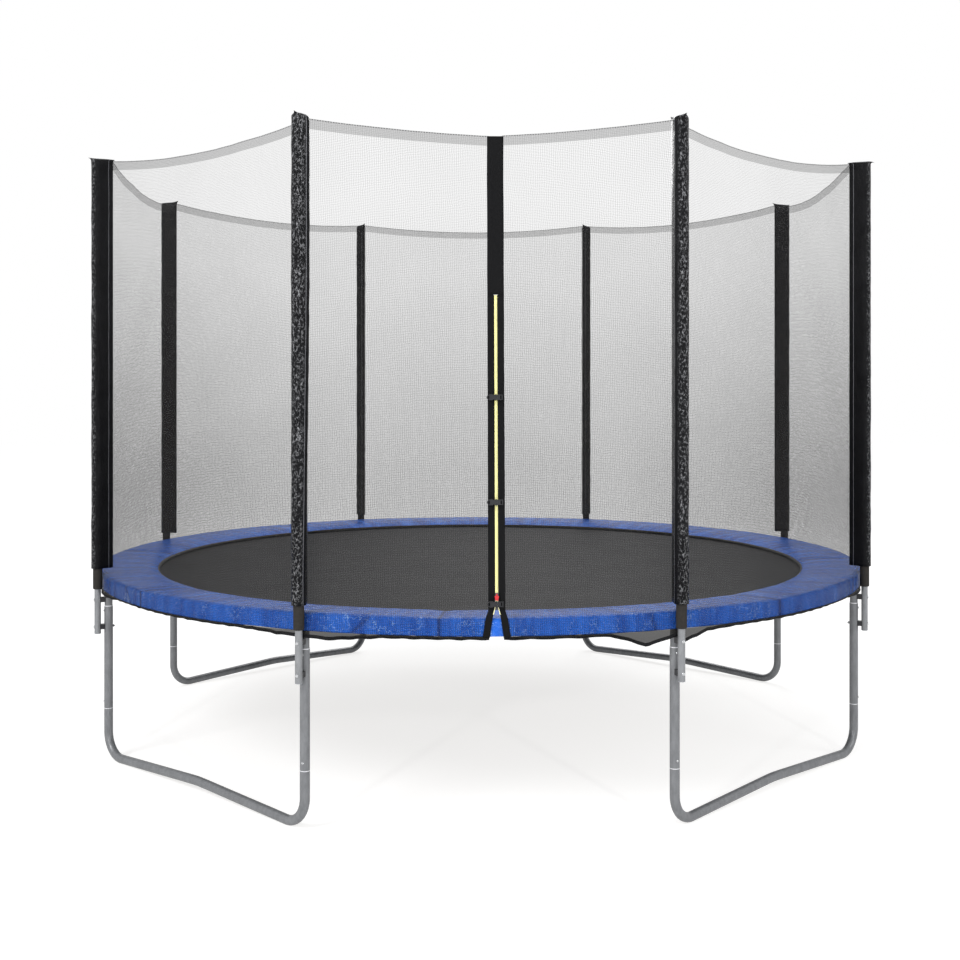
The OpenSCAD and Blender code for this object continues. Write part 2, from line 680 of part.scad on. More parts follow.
// Plugs on the right, each with a guide and two springy arms in the socket
module buckle_plug(n) {
    half = buckle_w / 2;
    s = buckle_s[n];
    arm_in = buckle_in + 2.8;
    arm_out = buckle_out - 2.8;
    color(plastic) on_door() {
        difference() {
            door_box(2.6, 24, buckle_in + 0.4, buckle_out - 0.4, s - half + 1, s + half - 1);
            door_box(15, 19.5, buckle_in - 1, buckle_out + 1, s - half + 4, s + half - 4);
        }
        door_box(-arm_reach + 5, 3, arm_in, arm_out, s - 1.5, s + 1.5);
        for (side = [-1, 1]) {
            door_box(-arm_reach, 3, arm_in, arm_out, s + side * (half - 6.4) - 1.4, s + side * (half - 6.4) + 1.4);
            door_box(-arm_reach, -arm_reach + 5, arm_in, arm_out,
                s + side * (half - 4.6) - 1.4, s + side * (half - 4.6) + 1.4);
        }
    }
}

rail(0);  // rail_1
rail(1);  // rail_2
rail(2);  // rail_3
rail(3);  // rail_4
rail(4);  // rail_5
rail(5);  // rail_6
rail(6);  // rail_7
rail(7);  // rail_8
leg_post(0);  // leg_post_1
leg_post(1);  // leg_post_2
leg_post(2);  // leg_post_3
leg_post(3);  // leg_post_4
leg_post(4);  // leg_post_5
leg_post(5);  // leg_post_6
leg_post(6);  // leg_post_7
leg_post(7);  // leg_post_8
leg_base(0);  // leg_base_1
leg_base(1);  // leg_base_2
leg_base(2);  // leg_base_3
leg_base(3);  // leg_base_4
pole_lower(0);  // pole_lower_1
pole_lower(1);  // pole_lower_2
pole_lower(2);  // pole_lower_3
pole_lower(3);  // pole_lower_4
pole_lower(4);  // pole_lower_5
pole_lower(5);  // pole_lower_6
pole_lower(6);  // pole_lower_7
pole_lower(7);  // pole_lower_8
pole_upper(0);  // pole_upper_1
pole_upper(1);  // pole_upper_2
pole_upper(2);  // pole_upper_3
pole_upper(3);  // pole_upper_4
pole_upper(4);  // pole_upper_5
pole_upper(5);  // pole_upper_6
pole_upper(6);  // pole_upper_7
pole_upper(7);  // pole_upper_8
pole_caps();
foam_tubes();
pole_covers();
pole_spacers();
pole_bolts();
pole_nuts();
leg_screws();
jumping_mat();
mat_webbing();
v_rings();
springs();
safety_pad();
pad_ties();
safety_net();
door_band();
zip_teeth();
zip_slider();
zip_pull();
buckle_straps();
buckle_sockets();
buckle_plug(0);  // buckle_plug_1
buckle_plug(1);  // buckle_plug_2
buckle_plug(2);  // buckle_plug_3
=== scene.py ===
import math

import bmesh
import bpy
from mathutils import Matrix, Vector, noise


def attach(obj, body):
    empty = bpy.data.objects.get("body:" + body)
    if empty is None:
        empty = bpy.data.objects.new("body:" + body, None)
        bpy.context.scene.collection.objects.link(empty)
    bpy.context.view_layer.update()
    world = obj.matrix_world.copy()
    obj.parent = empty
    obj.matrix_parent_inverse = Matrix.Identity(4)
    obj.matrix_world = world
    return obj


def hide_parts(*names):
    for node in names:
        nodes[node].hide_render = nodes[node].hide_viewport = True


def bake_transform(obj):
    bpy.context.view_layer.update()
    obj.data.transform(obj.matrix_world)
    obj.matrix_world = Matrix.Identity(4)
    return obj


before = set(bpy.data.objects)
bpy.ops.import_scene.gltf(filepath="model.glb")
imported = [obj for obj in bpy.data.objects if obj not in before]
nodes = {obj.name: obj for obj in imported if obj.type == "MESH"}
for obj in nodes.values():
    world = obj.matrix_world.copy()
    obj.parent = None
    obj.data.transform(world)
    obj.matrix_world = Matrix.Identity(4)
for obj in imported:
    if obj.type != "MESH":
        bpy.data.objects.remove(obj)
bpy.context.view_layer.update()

# Eye-level view of the whole trampoline, a little to the left of the zipped door.
# The horizon is held above the middle of the frame by the lens shift, so upright poles stay upright.
eye = bpy.data.objects.new("eye", bpy.data.cameras.new("eye"))
bpy.context.collection.objects.link(eye)
picture_px, lens_px, horizon_px = 960, 1317.7, 95
eye.location = (-0.153, -6.598, 1.663)
eye.rotation_euler = (math.radians(90), 0, math.radians(-1.327))
eye.data.sensor_width = 36
eye.data.lens = eye.data.sensor_width * lens_px / picture_px
eye.data.shift_y = -horizon_px / picture_px
eye.data.clip_end = 200
bpy.context.scene.camera = eye
bpy.context.scene.view_settings.view_transform = "Standard"

# Pale studio: a white floor that only keeps the soft shadow under the legs,
# a white surround, three large lamps and two small ones for the glints in creased cloth.
def add_node(tree, kind, feeds=None, **settings):
    """New node with its sockets and properties set by name; feeds maps sockets to values or outputs."""
    node = tree.nodes.new(kind)
    for key, value in settings.items():
        setattr(node, key, value)
    for key, value in (feeds or {}).items():
        socket = node.inputs[key]
        if isinstance(value, bpy.types.NodeSocket):
            tree.links.new(value, socket)
        else:
            socket.default_value = value
    return node

def maths(tree, operation, *values, **settings):
    """Output of a sum over numbers and outputs."""
    node = add_node(tree, "ShaderNodeMath", dict(enumerate(values)), operation=operation, **settings)
    return node.outputs[0]

def seen_white(tree, plain, white):
    """Output of a plain shader for lighting and a white one for what the eye and mirrors see."""
    rays = add_node(tree, "ShaderNodeLightPath").outputs
    mirrored = maths(tree, "MAXIMUM", rays["Is Glossy Ray"], rays["Is Transmission Ray"])
    seen = maths(tree, "MAXIMUM", rays["Is Camera Ray"], mirrored)
    mix = add_node(tree, "ShaderNodeMixShader", {0: seen, 1: plain.outputs[0], 2: white.outputs[0]})
    return mix.outputs[0]

surround = bpy.data.worlds.new("studio_surround")
bpy.context.scene.world = surround
surround.use_nodes = True
air = surround.node_tree
dim = air.nodes["Background"]
dim.inputs["Color"].default_value = (0.93, 0.96, 1, 1)
dim.inputs["Strength"].default_value = 0.62
bright = add_node(air, "ShaderNodeBackground", {"Color": (1, 1, 1, 1), "Strength": 1.0})
air.links.new(seen_white(air, dim, bright), air.nodes["World Output"].inputs["Surface"])

floor_half = 30
floor_mesh = bpy.data.meshes.new("studio_floor")
floor_mesh.from_pydata([(x * floor_half, y * floor_half, 0) for x, y in ((-1, -1), (1, -1), (1, 1), (-1, 1))],
    [], [(0, 1, 2, 3)])
studio_floor = bpy.data.objects.new("studio_floor", floor_mesh)
bpy.context.collection.objects.link(studio_floor)
floor_paint = bpy.data.materials.new("pale_floor")
floor_paint.use_nodes = True
paint = floor_paint.node_tree
paint.nodes.clear()
matt = add_node(paint, "ShaderNodeBsdfDiffuse", {"Color": (0.9, 0.9, 0.9, 1)})
veil = add_node(paint, "ShaderNodeBsdfDiffuse", {"Color": (0.45, 0.45, 0.45, 1)})
glow = add_node(paint, "ShaderNodeEmission", {"Color": (0.741, 0.732, 0.721, 1), "Strength": 1.0})
lit = add_node(paint, "ShaderNodeAddShader", {0: veil.outputs[0], 1: glow.outputs[0]})
add_node(paint, "ShaderNodeOutputMaterial", {"Surface": seen_white(paint, matt, lit)})
floor_mesh.materials.append(floor_paint)

def hang_lamp(name, place, aim, size, power):
    """Round lamp of a size in metres and a power in watts, aimed at a place."""
    lamp = bpy.data.objects.new(name, bpy.data.lights.new(name, "AREA"))
    bpy.context.collection.objects.link(lamp)
    lamp.data.shape = "DISK"
    lamp.data.size = size
    lamp.data.energy = power
    lamp.location = place
    lamp.rotation_euler = (Vector(aim) - Vector(place)).to_track_quat("-Z", "Y").to_euler()

hang_lamp("key_lamp", (-5.5, -6.5, 6.5), (0, 0, 0.9), 3.0, 420)
hang_lamp("fill_lamp", (6.5, -4.0, 4.0), (0, 0, 0.9), 4.0, 130)
hang_lamp("back_lamp", (1.0, 7.0, 5.5), (0, 0, 1.2), 4.0, 200)
hang_lamp("glint_lamp_left", (-3.4, -8.4, 3.0), (-0.4, -1.6, 1.5), 0.35, 130)
hang_lamp("glint_lamp_right", (3.4, -8.4, 3.4), (0.4, -1.6, 1.4), 0.35, 130)

# Galvanised steel frame: eight ring rails with leg stubs, eight upper legs, four bent base tubes
# and eight two-piece poles. Cold-drawn tube with a dull zinc coat, a faint spangle and rub marks.
def finish_of(name, colour, rough, metal=0.0, gloss=0.5):
    """New material with its shader ready; returns material, node tree and shader."""
    material = bpy.data.materials.new(name)
    material.use_nodes = True
    shader = material.node_tree.nodes["Principled BSDF"]
    shader.inputs["Base Color"].default_value = (*colour, 1)
    shader.inputs["Roughness"].default_value = rough
    shader.inputs["Metallic"].default_value = metal
    shader.inputs["Specular IOR Level"].default_value = gloss
    return material, material.node_tree, shader

def on_piece(tree):
    """Output of a place on the piece."""
    return add_node(tree, "ShaderNodeTexCoord").outputs["Object"]

def axes_of(tree, place):
    """X, Y and Z outputs of a place."""
    return add_node(tree, "ShaderNodeSeparateXYZ", {"Vector": place}).outputs

def spotted(tree, scale, detail=3, rough=0.5, stretch=(1, 1, 1), coords="Object"):
    """Noise over the piece, stretched along its axes; returns its 0-1 output."""
    where = add_node(tree, "ShaderNodeTexCoord")
    place = add_node(tree, "ShaderNodeMapping", {"Vector": where.outputs[coords], "Scale": stretch})
    return add_node(tree, "ShaderNodeTexNoise", {"Vector": place.outputs[0], "Scale": scale,
        "Detail": detail, "Roughness": rough}).outputs[0]

def between(tree, factor, low, high):
    """Two colours or outputs mixed by a 0-1 output."""
    low, high = (end if isinstance(end, bpy.types.NodeSocket) else (*end, 1) for end in (low, high))
    return add_node(tree, "ShaderNodeMix", {0: factor, 6: low, 7: high}, data_type="RGBA").outputs[2]

def coloured(tree, shader, factor, low, high):
    """Gives the shader a colour between two, by a 0-1 output."""
    tree.links.new(between(tree, factor, low, high), shader.inputs["Base Color"])

def ranged(tree, factor, low, high, start=0.0, end=1.0):
    """A 0-1 output brought into a range of numbers."""
    return add_node(tree, "ShaderNodeMapRange", {"Value": factor, "From Min": start, "From Max": end,
        "To Min": low, "To Max": high}).outputs[0]

def roughened(tree, shader, factor, low, high):
    """Gives the shader a roughness between two, by a 0-1 output."""
    tree.links.new(ranged(tree, factor, low, high), shader.inputs["Roughness"])

def raised(tree, shader, height, depth):
    """Bump of a real depth in metres from a 0-1 height."""
    bump = add_node(tree, "ShaderNodeBump", {"Height": height, "Distance": depth, "Strength": 1.0})
    tree.links.new(bump.outputs[0], shader.inputs["Normal"])

def zinc_coat(name, dull, clean, highlight_heights):
    """Zinc coat between two greys, with a light band painted as a highlight where the tubes are cut off at
    the stated heights.
    """
    material, tree, shader = finish_of(name, clean, 0.34, 0.25)
    shader.inputs["Specular Tint"].default_value = (0.25, 0.25, 0.27, 1)
    coat = between(tree, spotted(tree, 55, 4, 0.6, (1, 1, 0.35)), dull, clean)
    height = axes_of(tree, on_piece(tree))["Z"]
    highlight_half = 0.0014
    # Painted highlight: a narrow near-white band of base colour round the tube at each cut end.
    for end in highlight_heights:
        coat = between(tree, maths(tree, "COMPARE", height, end, highlight_half), coat, (0.8, 0.8, 0.82))
    tree.links.new(coat, shader.inputs["Base Color"])
    roughened(tree, shader, spotted(tree, 14, 5), 0.24, 0.42)
    raised(tree, shader, spotted(tree, 220, 3, 0.5, (1, 1, 0.1)), 0.0002)
    return material

# Heights of the painted highlight bands at the cut ends of the leg tubes.
cut_highlights = (0.2265, 0.681)
leg_zinc = zinc_coat("galvanised_leg", (0.12, 0.123, 0.127), (0.27, 0.274, 0.282), cut_highlights)
pole_zinc = zinc_coat("galvanised_pole", (0.16, 0.164, 0.169), (0.33, 0.335, 0.343), ())

def dress(name, material):
    """Puts a material on a frame node."""
    mesh = nodes[name].data
    mesh.materials.clear()
    mesh.materials.append(material)

for node_name in nodes:
    if node_name.startswith(("rail_", "leg_post_", "leg_base_")):
        dress(node_name, leg_zinc)
    if node_name.startswith(("pole_lower_", "pole_upper_")):
        dress(node_name, pole_zinc)

# Fasteners and plastic fittings: zinc-plated bolts, nuts and screws, black saddles between
# leg and pole, and grey caps in the pole ends.
zinc, tree, shader = finish_of("zinc_plate", (0.50, 0.51, 0.52), 0.22, 1.0)
roughened(tree, shader, spotted(tree, 160, 3), 0.14, 0.34)
raised(tree, shader, spotted(tree, 900, 2), 0.00008)
for node_name in ("pole_bolts", "pole_nuts", "leg_screws", "v_rings"):
    dress(node_name, zinc)

moulded, tree, shader = finish_of("moulded_black", (0.022, 0.022, 0.024), 0.3, gloss=0.25)
coloured(tree, shader, spotted(tree, 30, 4), (0.014, 0.014, 0.016), (0.032, 0.032, 0.034))
raised(tree, shader, spotted(tree, 1400, 2), 0.00006)
for node_name in ("pole_spacers", "buckle_sockets", "buckle_plug_1", "buckle_plug_2", "buckle_plug_3"):
    dress(node_name, moulded)

dark_zinc, tree, shader = finish_of("dark_zinc", (0.10, 0.10, 0.11), 0.3, 0.9)
coloured(tree, shader, spotted(tree, 120, 3), (0.07, 0.07, 0.075), (0.14, 0.14, 0.15))
dress("zip_slider", dark_zinc)

cap_grey, tree, shader = finish_of("cap_grey", (0.3, 0.31, 0.33), 0.45)
coloured(tree, shader, spotted(tree, 40, 3), (0.26, 0.27, 0.29), (0.36, 0.37, 0.39))
dress("pole_caps", cap_grey)

tab_red, tree, shader = finish_of("tab_red", (0.62, 0.02, 0.025), 0.35)
coloured(tree, shader, spotted(tree, 60, 3), (0.52, 0.012, 0.02), (0.7, 0.03, 0.03))
raised(tree, shader, spotted(tree, 800, 2), 0.0001)
dress("zip_pull", tab_red)

# Jumping mat: one disc of black woven polypropylene, cut round and stretched flat.
# Its edge lies in the sewn rim, which the springs pull outwards.
ring_z = 0.783
mat_r = 1.560

def on_ring(r, angle, z):
    """Point at an azimuth in degrees from the door, anticlockwise from above."""
    return Vector((r * math.sin(math.radians(angle)), -r * math.cos(math.radians(angle)), z))

def faced_out(piece, merge=0):
    """Merges a piece's doubles, or fills its open ends, and turns every face outwards."""
    shell = bmesh.new()
    shell.from_mesh(piece.data)
    if merge:
        bmesh.ops.remove_doubles(shell, verts=shell.verts, dist=merge)
    else:
        bmesh.ops.holes_fill(shell, edges=[e for e in shell.edges if e.is_boundary], sides=0)
    bmesh.ops.recalc_face_normals(shell, faces=shell.faces)
    shell.to_mesh(piece.data)
    shell.free()

def quads_of(rows, round_rows=False, round_columns=False):
    """Corners, as (row, column), of the quads between rows of points. round_rows joins each row's ends,
    round_columns the last row to the first."""
    down = range(len(rows) if round_columns else len(rows) - 1)
    along = range(len(rows[0]) if round_rows else len(rows[0]) - 1)
    return [((r, c), (r, c + 1), (r + 1, c + 1), (r + 1, c)) for r in down for c in along]

def skin_of(name, rows, quads):
    """Object of smooth quads through rows of points, not yet on a body."""
    count, width = len(rows), len(rows[0])
    mesh = bpy.data.meshes.new(name)
    mesh.from_pydata([p for row in rows for p in row], [],
        [[(r % count) * width + c % width for r, c in quad] for quad in quads])
    mesh.shade_smooth()
    made = bpy.data.objects.new(name, mesh)
    bpy.context.collection.objects.link(made)
    return made

def sewn_skin(name, rows, material, body, round_rows=False, round_columns=False, chart=None):
    """Skin on a body, in a material. chart(row, column) gives a flat place in metres for the pattern."""
    quads = quads_of(rows, round_rows, round_columns)
    made = skin_of(name, rows, quads)
    if chart:
        flat = made.data.uv_layers.new(name="flat")
        spots = [chart(r, c) for quad in quads for r, c in quad]
        flat.data.foreach_set("uv", [x for spot in spots for x in spot])
    made.data.materials.append(material)
    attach(made, body)
    return made

def banded(tree, place, axis, scale, bend=0.0, detail=2.0):
    """0-1 output of threads laid side by side along an axis of a place, or slanting."""
    return add_node(tree, "ShaderNodeTexWave", {"Vector": place, "Scale": scale, "Distortion": bend,
        "Detail": detail}, bands_direction=axis).outputs[1]

woven_mat, tree, shader = finish_of("woven_mat", (0.03, 0.03, 0.031), 0.6, gloss=0.12)
here = on_piece(tree)
weave = maths(tree, "MULTIPLY", banded(tree, here, "X", 95.0, 0.4), banded(tree, here, "Y", 95.0, 0.4))
coloured(tree, shader, weave, (0.016, 0.016, 0.0175), (0.0215, 0.021, 0.0235))
roughened(tree, shader, spotted(tree, 5, 4), 0.60, 0.68)
raised(tree, shader, weave, 0.00015)

mat_steps = 192
mat_rows = []
for r, z in ((0.001, 0.6), (0.4, 0.6), (0.8, 0.6), (1.2, 0.6), (1.5, 0.6), (1.556, 0.6), (1.5596, 0.35),
        (1.5596, -0.35), (1.556, -0.6), (1.5, -0.6), (0.8, -0.6), (0.001, -0.6)):
    mat_rows.append([on_ring(r, 360 * c / mat_steps, ring_z + z / 1000) for c in range(mat_steps)])
mat_sheet = sewn_skin("mat_sheet", mat_rows[::-1], woven_mat, "mat", round_rows=True)
faced_out(mat_sheet)
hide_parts("jumping_mat")

# Mat rim: double webbing sewn round the mat with three rows of stitches,
# and a folded loop of webbing for each of the rings that the springs pull on.
springs_n = 72
loop_wall = 0.0013

webbing, tree, shader = finish_of("black_webbing", (0.02, 0.02, 0.022), 0.6, gloss=0.12)
ribs = banded(tree, on_piece(tree), "DIAGONAL", 130.0, 1.5, 1.0)
coloured(tree, shader, ribs, (0.01, 0.01, 0.011), (0.04, 0.04, 0.043))
raised(tree, shader, ribs, 0.0005)

def repeated(name, unit, count, material, body, step=(0.0, 0.0, 0.0), turn=0.0, first=0.0):
    """Repeats a loose piece into one mesh on a body. Each copy stands a step further, and is turned about
    the ring's middle by its share of the whole turn, from the first azimuth; both are in degrees."""
    group = bpy.data.node_groups.new(name + "_repeat", "GeometryNodeTree")
    sockets = {}
    for label, kind in (("Piece", "Geometry"), ("Count", "Int"), ("Step", "Vector"), ("Whole turn", "Float"),
            ("First azimuth", "Float"), ("Material", "Material")):
        sockets[label] = group.interface.new_socket(label, in_out="INPUT", socket_type="NodeSocket" + kind)
    group.interface.new_socket("Copies", in_out="OUTPUT", socket_type="NodeSocketGeometry")
    given = add_node(group, "NodeGroupInput").outputs
    spots = add_node(group, "GeometryNodeMeshLine", {"Count": given["Count"], "Offset": given["Step"]})
    share = maths(group, "DIVIDE", add_node(group, "GeometryNodeInputIndex").outputs[0], given["Count"])
    azimuth = maths(group, "MULTIPLY_ADD", share, given["Whole turn"], given["First azimuth"])
    about_z = add_node(group, "ShaderNodeCombineXYZ", {"Z": azimuth})
    stand = add_node(group, "GeometryNodeInstanceOnPoints", {"Points": spots.outputs[0],
        "Instance": given["Piece"], "Rotation": about_z.outputs[0]})
    real = add_node(group, "GeometryNodeRealizeInstances", {0: stand.outputs[0]})
    coat = add_node(group, "GeometryNodeSetMaterial", {"Geometry": real.outputs[0],
        "Material": given["Material"]})
    add_node(group, "NodeGroupOutput", {0: coat.outputs[0]})
    repeat = unit.modifiers.new("repeat", "NODES")
    repeat.node_group = group
    for label, value in (("Count", count), ("Step", step), ("Whole turn", math.radians(turn)),
            ("First azimuth", math.radians(first)), ("Material", material)):
        repeat[sockets[label].identifier] = value
    mesh = bpy.data.meshes.new_from_object(unit.evaluated_get(bpy.context.evaluated_depsgraph_get()))
    mesh.name = name
    made = bpy.data.objects.new(name, mesh)
    bpy.context.collection.objects.link(made)
    bpy.data.objects.remove(unit)
    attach(made, body)
    return made

rim_steps = 288
rim_rows = []
for r, z in ((0.0004, -1.4), (0.0004, 1.5), (0.003, 2.0), (0.012, 2.0), (0.014, 1.6), (0.016, 2.0),
        (0.030, 2.0), (0.032, 1.6), (0.034, 2.0), (0.048, 2.0), (0.050, 1.6), (0.052, 2.0), (0.0555, 1.7),
        (0.057, 0.6), (0.057, -0.8), (0.055, -1.9), (0.028, -2.0), (0.003, -2.0)):
    rim_rows.append([on_ring(mat_r + r, 360 * c / rim_steps, ring_z + z / 1000) for c in range(rim_steps)])
mat_rim = sewn_skin("mat_rim", rim_rows[::-1], webbing, "mat", round_rows=True, round_columns=True)
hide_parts("mat_webbing")

loop_line = [(-1.600, 2.3), (-1.6115, 2.4), (-1.617, 3.3), (-1.6212, 3.6), (-1.6238, 2.4), (-1.6246, 0),
    (-1.6238, -2.4), (-1.6212, -3.6), (-1.617, -3.3), (-1.6115, -2.4), (-1.600, -2.3)]
loop_rows = []
for y, z in loop_line:
    row = []
    for x in (-0.0100, -0.0094, 0, 0.0094, 0.0100):
        row.append((x, y - (0.0004 if abs(x) < 0.0099 else 0), ring_z + z / 1000))
    loop_rows.append(row)
loop_rows.reverse()
loop_unit = skin_of("loop_unit", loop_rows, quads_of(loop_rows))
loop_thick = loop_unit.modifiers.new("thick", "SOLIDIFY")
loop_thick.thickness = loop_wall
loop_thick.offset = -1
mat_loops = repeated("mat_loops", loop_unit, springs_n, webbing, "mat", turn=360)

# Springs: close-wound zinc wire coils, each with an eye round its ring and a hook
# that drops into a hole in the rail. They stretch between the rail and the mat.
wire_r = 0.0016
eye_at, eye_r = 1.6543, 0.0052
coil_r = 0.0084
coil_in, coil_out = 1.676, 1.7675
turns = 15

def blend_of(a, b, t):
    """Place at a share t of the way from a to b."""
    return a + (b - a) * t

def wire_along(path, radius, sides):
    """Points and faces of a round wire that follows a path, with closed ends."""
    points, faces = [], []
    askew = Vector((0.13, 0.21, 0.97))
    for n, spot in enumerate(path):
        ahead = (path[min(n + 1, len(path) - 1)] - path[max(n - 1, 0)]).normalized()
        side = ahead.cross(askew).normalized()
        up = side.cross(ahead)
        for k in range(sides):
            swing = 2 * math.pi * k / sides
            points.append(spot + radius * (math.cos(swing) * side + math.sin(swing) * up))
    for n in range(len(path) - 1):
        for k in range(sides):
            a, b = n * sides + k, n * sides + (k + 1) % sides
            faces.append((a, b, b + sides, a + sides))
    faces.append(tuple(range(sides))[::-1])
    faces.append(tuple(range((len(path) - 1) * sides, len(path) * sides)))
    return points, faces

# From the eye round its ring, along the coil, to the hook in the rail's hole.
spring_path = []
for k in range(10, -1, -1):
    swing = math.radians(20 + 320 * k / 10)
    spring_path.append(Vector((0, eye_r * math.cos(swing) - eye_at, eye_r * math.sin(swing))))
for y, z in ((-1.6650, 0), (-1.6700, 0.001)):
    spring_path.append(Vector((0, y, z)))
for k in range(turns * 8 + 1):
    share = k / (turns * 8)
    radius = coil_r * min(1, 0.35 + 8 * share, 0.35 + 8 * (1 - share))
    swing = 2 * math.pi * k / 8
    spring_path.append(Vector((radius * math.sin(swing), -blend_of(coil_in - 0.004, coil_out + 0.004, share),
        radius * math.cos(swing))))
for y, z in ((-1.776, 0.0005), (-1.784, 0), (-1.7905, 0), (-1.7935, 0.0012), (-1.7937, 0.0055)):
    spring_path.append(Vector((0, y, z)))
spring_points, spring_faces = wire_along([p + Vector((0, 0, ring_z)) for p in spring_path], wire_r, 5)
first_spring = bpy.data.meshes.new("spring_wire")
first_spring.from_pydata(spring_points, [], spring_faces)
first_spring.shade_smooth()
first_spring.materials.append(zinc)
for k in range(springs_n):
    azimuth = 360 * k / springs_n
    wire = first_spring.copy()
    wire.transform(Matrix.Rotation(math.radians(azimuth), 4, "Z"))
    spring = bpy.data.objects.new(f"spring_{k + 1:02d}", wire)
    bpy.context.collection.objects.link(spring)
    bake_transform(spring)
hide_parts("springs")

# Safety pad: a foam ring in blue coated cloth that lies over the springs. Eight lengths are welded
# end to end, and a skirt hangs over the rail. The crown sinks at each weld and the skirt is creased.
# Its inner edge and its underside are black.
pad_in = 1.557
skirt_in, skirt_out = 1.8294, 1.8315
skirt_limits = (1.8298, 1.8325)
crown_limit = 822.2
weld_azimuth = -6
poles_n = 8
bay = 360 / poles_n

def weld_gap(angle):
    """Degrees from the nearest weld between two lengths of the pad; there is one length to each pole."""
    return (angle - weld_azimuth + bay / 2) % bay - bay / 2

def ripple(x, y, z, seed):
    """Smooth noise from about -1 to 1, another one for each seed."""
    return noise.noise(Vector((x, y, z + seed * 7.3)))

# Azimuth of each slanted fold, and the degrees by which it leans over a metre of height.
pad_folds = ((-15, 34), (19.2, -12), (62, 20), (98, -26), (143, 14), (187, 30), (231, -18), (276, 24),
    (305, -30))

def folded(angle, z):
    """Depth, up to 1, of the slanted folds down the skirt; below 0 where it bulges beside them."""
    deep = 0.0
    for azimuth, lean in pad_folds:
        off = (angle - azimuth - lean * (z - 790) / 1000 + 180) % 360 - 180
        deep += math.exp(-(off / 0.32) ** 2) - 0.5 * math.exp(-((off - 0.6) / 0.4) ** 2)
    return deep

# Across the pad, from its inner edge over the crown and the skirt and back underneath: radius in metres
# and height in millimetres. The counts are the points at which its edge, crown and skirt end.
edge_end, crown_end, skirt_end = 4, 17, 27
pad_steps = 960
pad_line = [(pad_in + 0.0012, 787.0), (pad_in, 789.5), (pad_in + 0.0004, 793.0), (pad_in + 0.004, 797.0),
    (pad_in + 0.010, 799.6), (pad_in + 0.020, 803.2), (pad_in + 0.040, 808.6), (pad_in + 0.065, 813.2),
    (1.650, 815.6), (1.680, 817.4), (1.710, 818.4), (1.740, 819.0), (1.765, 819.6), (1.785, 820.4),
    (1.800, 820.9), (1.812, 820.7), (1.820, 819.4), (1.8262, 816.4), (1.8296, 812.6), (1.8310, 808.0)]
pad_line += [(skirt_out, z) for z in (800.0, 792.0, 784.0, 776.0, 768.0, 762.0, 756.0)]
pad_line += [(1.8313, 752.6), (1.8306, 752.1), (1.8297, 752.6), (skirt_in, 760.0), (skirt_in, 780.0),
    (skirt_in, 803.7), (1.782, 803.7), (1.676, 793.9), (1.6263, 789.0), (1.608, 787.8), (1.580, 786.6)]
pad_rows = []
for number, (r, z) in enumerate(pad_line):
    row = []
    crown = 1 < number < crown_end
    skirt = crown_end < number <= skirt_end
    for c in range(pad_steps):
        angle = 360 * c / pad_steps
        gap = abs(weld_gap(angle))
        dip = math.exp(-(gap / 0.9) ** 2)
        pucker = math.exp(-(gap / 3.2) ** 2)
        around = math.radians(angle) * 1.8
        height, radius = z, r
        if crown:
            share = min(1, (number - 1) / 6)
            height -= share * (4.2 * dip + 1.6 * pucker)
            height += share * (1.1 * ripple(around * 5, r * 9, 0, 1) + 0.5 * ripple(around * 22, r * 16, 0, 3)
                + 0.7 * pucker * ripple(around * 38, r * 14, 0, 2))
            height = min(height, crown_limit)
        if skirt:
            share = (number - crown_end) / (skirt_end - crown_end)
            crease = ripple(around * 30, z * 0.012, 0, 4) * 0.7 + ripple(around * 75, z * 0.02, 0, 5) * 0.4
            radius += 0.0011 * share * crease - 0.0014 * dip - 0.0013 * min(1, share * 2) * folded(angle, z)
            height += share * 1.6 * ripple(around * 6, 0, 0, 6)
            radius = max(skirt_limits[0], min(radius, skirt_limits[1]))
        if skirt_end <= number < skirt_end + 3:
            height += 1.6 * ripple(around * 6, 0, 0, 6)
        row.append(on_ring(radius, angle, height / 1000))
    pad_rows.append(row)

def marked(tree, name):
    """0-1 output of a value that is stored on the piece's points."""
    return add_node(tree, "ShaderNodeAttribute", attribute_name=name).outputs["Fac"]

def mark(piece, name, values):
    """Stores a value on each of the piece's points."""
    piece.data.attributes.new(name, "FLOAT", "POINT").data.foreach_set("value", values)

coated_blue, tree, shader = finish_of("coated_blue", (0.02, 0.13, 0.52), 0.3, gloss=0.2)
streaks = ranged(tree, spotted(tree, 16, 5, 0.6, (1, 0.14, 1), "UV"), 0.0, 1.0, 0.34, 0.66)
cloth = between(tree, streaks, (0.006, 0.075, 0.42), (0.024, 0.18, 0.80))
# Darker navy along the welds, which are dark joints, and painted shade down the skirt's folds.
cloth = between(tree, marked(tree, "crease"), cloth, (0.004, 0.035, 0.19))
# Painted glints: thin pale-blue lines of base colour standing in for highlights on the creased coating, in
# patches.
ridge = maths(tree, "ABSOLUTE", maths(tree, "SUBTRACT", spotted(tree, 30, 3, 0.55), 0.5))
glint_patches = ranged(tree, spotted(tree, 9, 2), 0.0, 1.0, 0.42, 0.62)
glints = maths(tree, "MULTIPLY", ranged(tree, ridge, 1.0, 0.0, 0.0, 0.017), glint_patches)
coloured(tree, shader, maths(tree, "MULTIPLY", glints, marked(tree, "edge")), cloth, (0.42, 0.66, 1.0))
roughened(tree, shader, spotted(tree, 24, 4), 0.12, 0.26)
raised(tree, shader, maths(tree, "MULTIPLY", spotted(tree, 34, 6, 0.62), spotted(tree, 200, 3, 0.5)), 0.011)

black_backing, tree, shader = finish_of("black_backing", (0.012, 0.012, 0.013), 0.6, gloss=0.2)
coloured(tree, shader, spotted(tree, 300, 3), (0.007, 0.007, 0.008), (0.02, 0.02, 0.021))
raised(tree, shader, spotted(tree, 500, 2), 0.0004)

def lengths_along(points):
    """Length along a line, from its start to each of its points."""
    lengths = [0.0]
    for here, after in zip(points, points[1:]):
        lengths.append(lengths[-1] + (after - here).length)
    return lengths

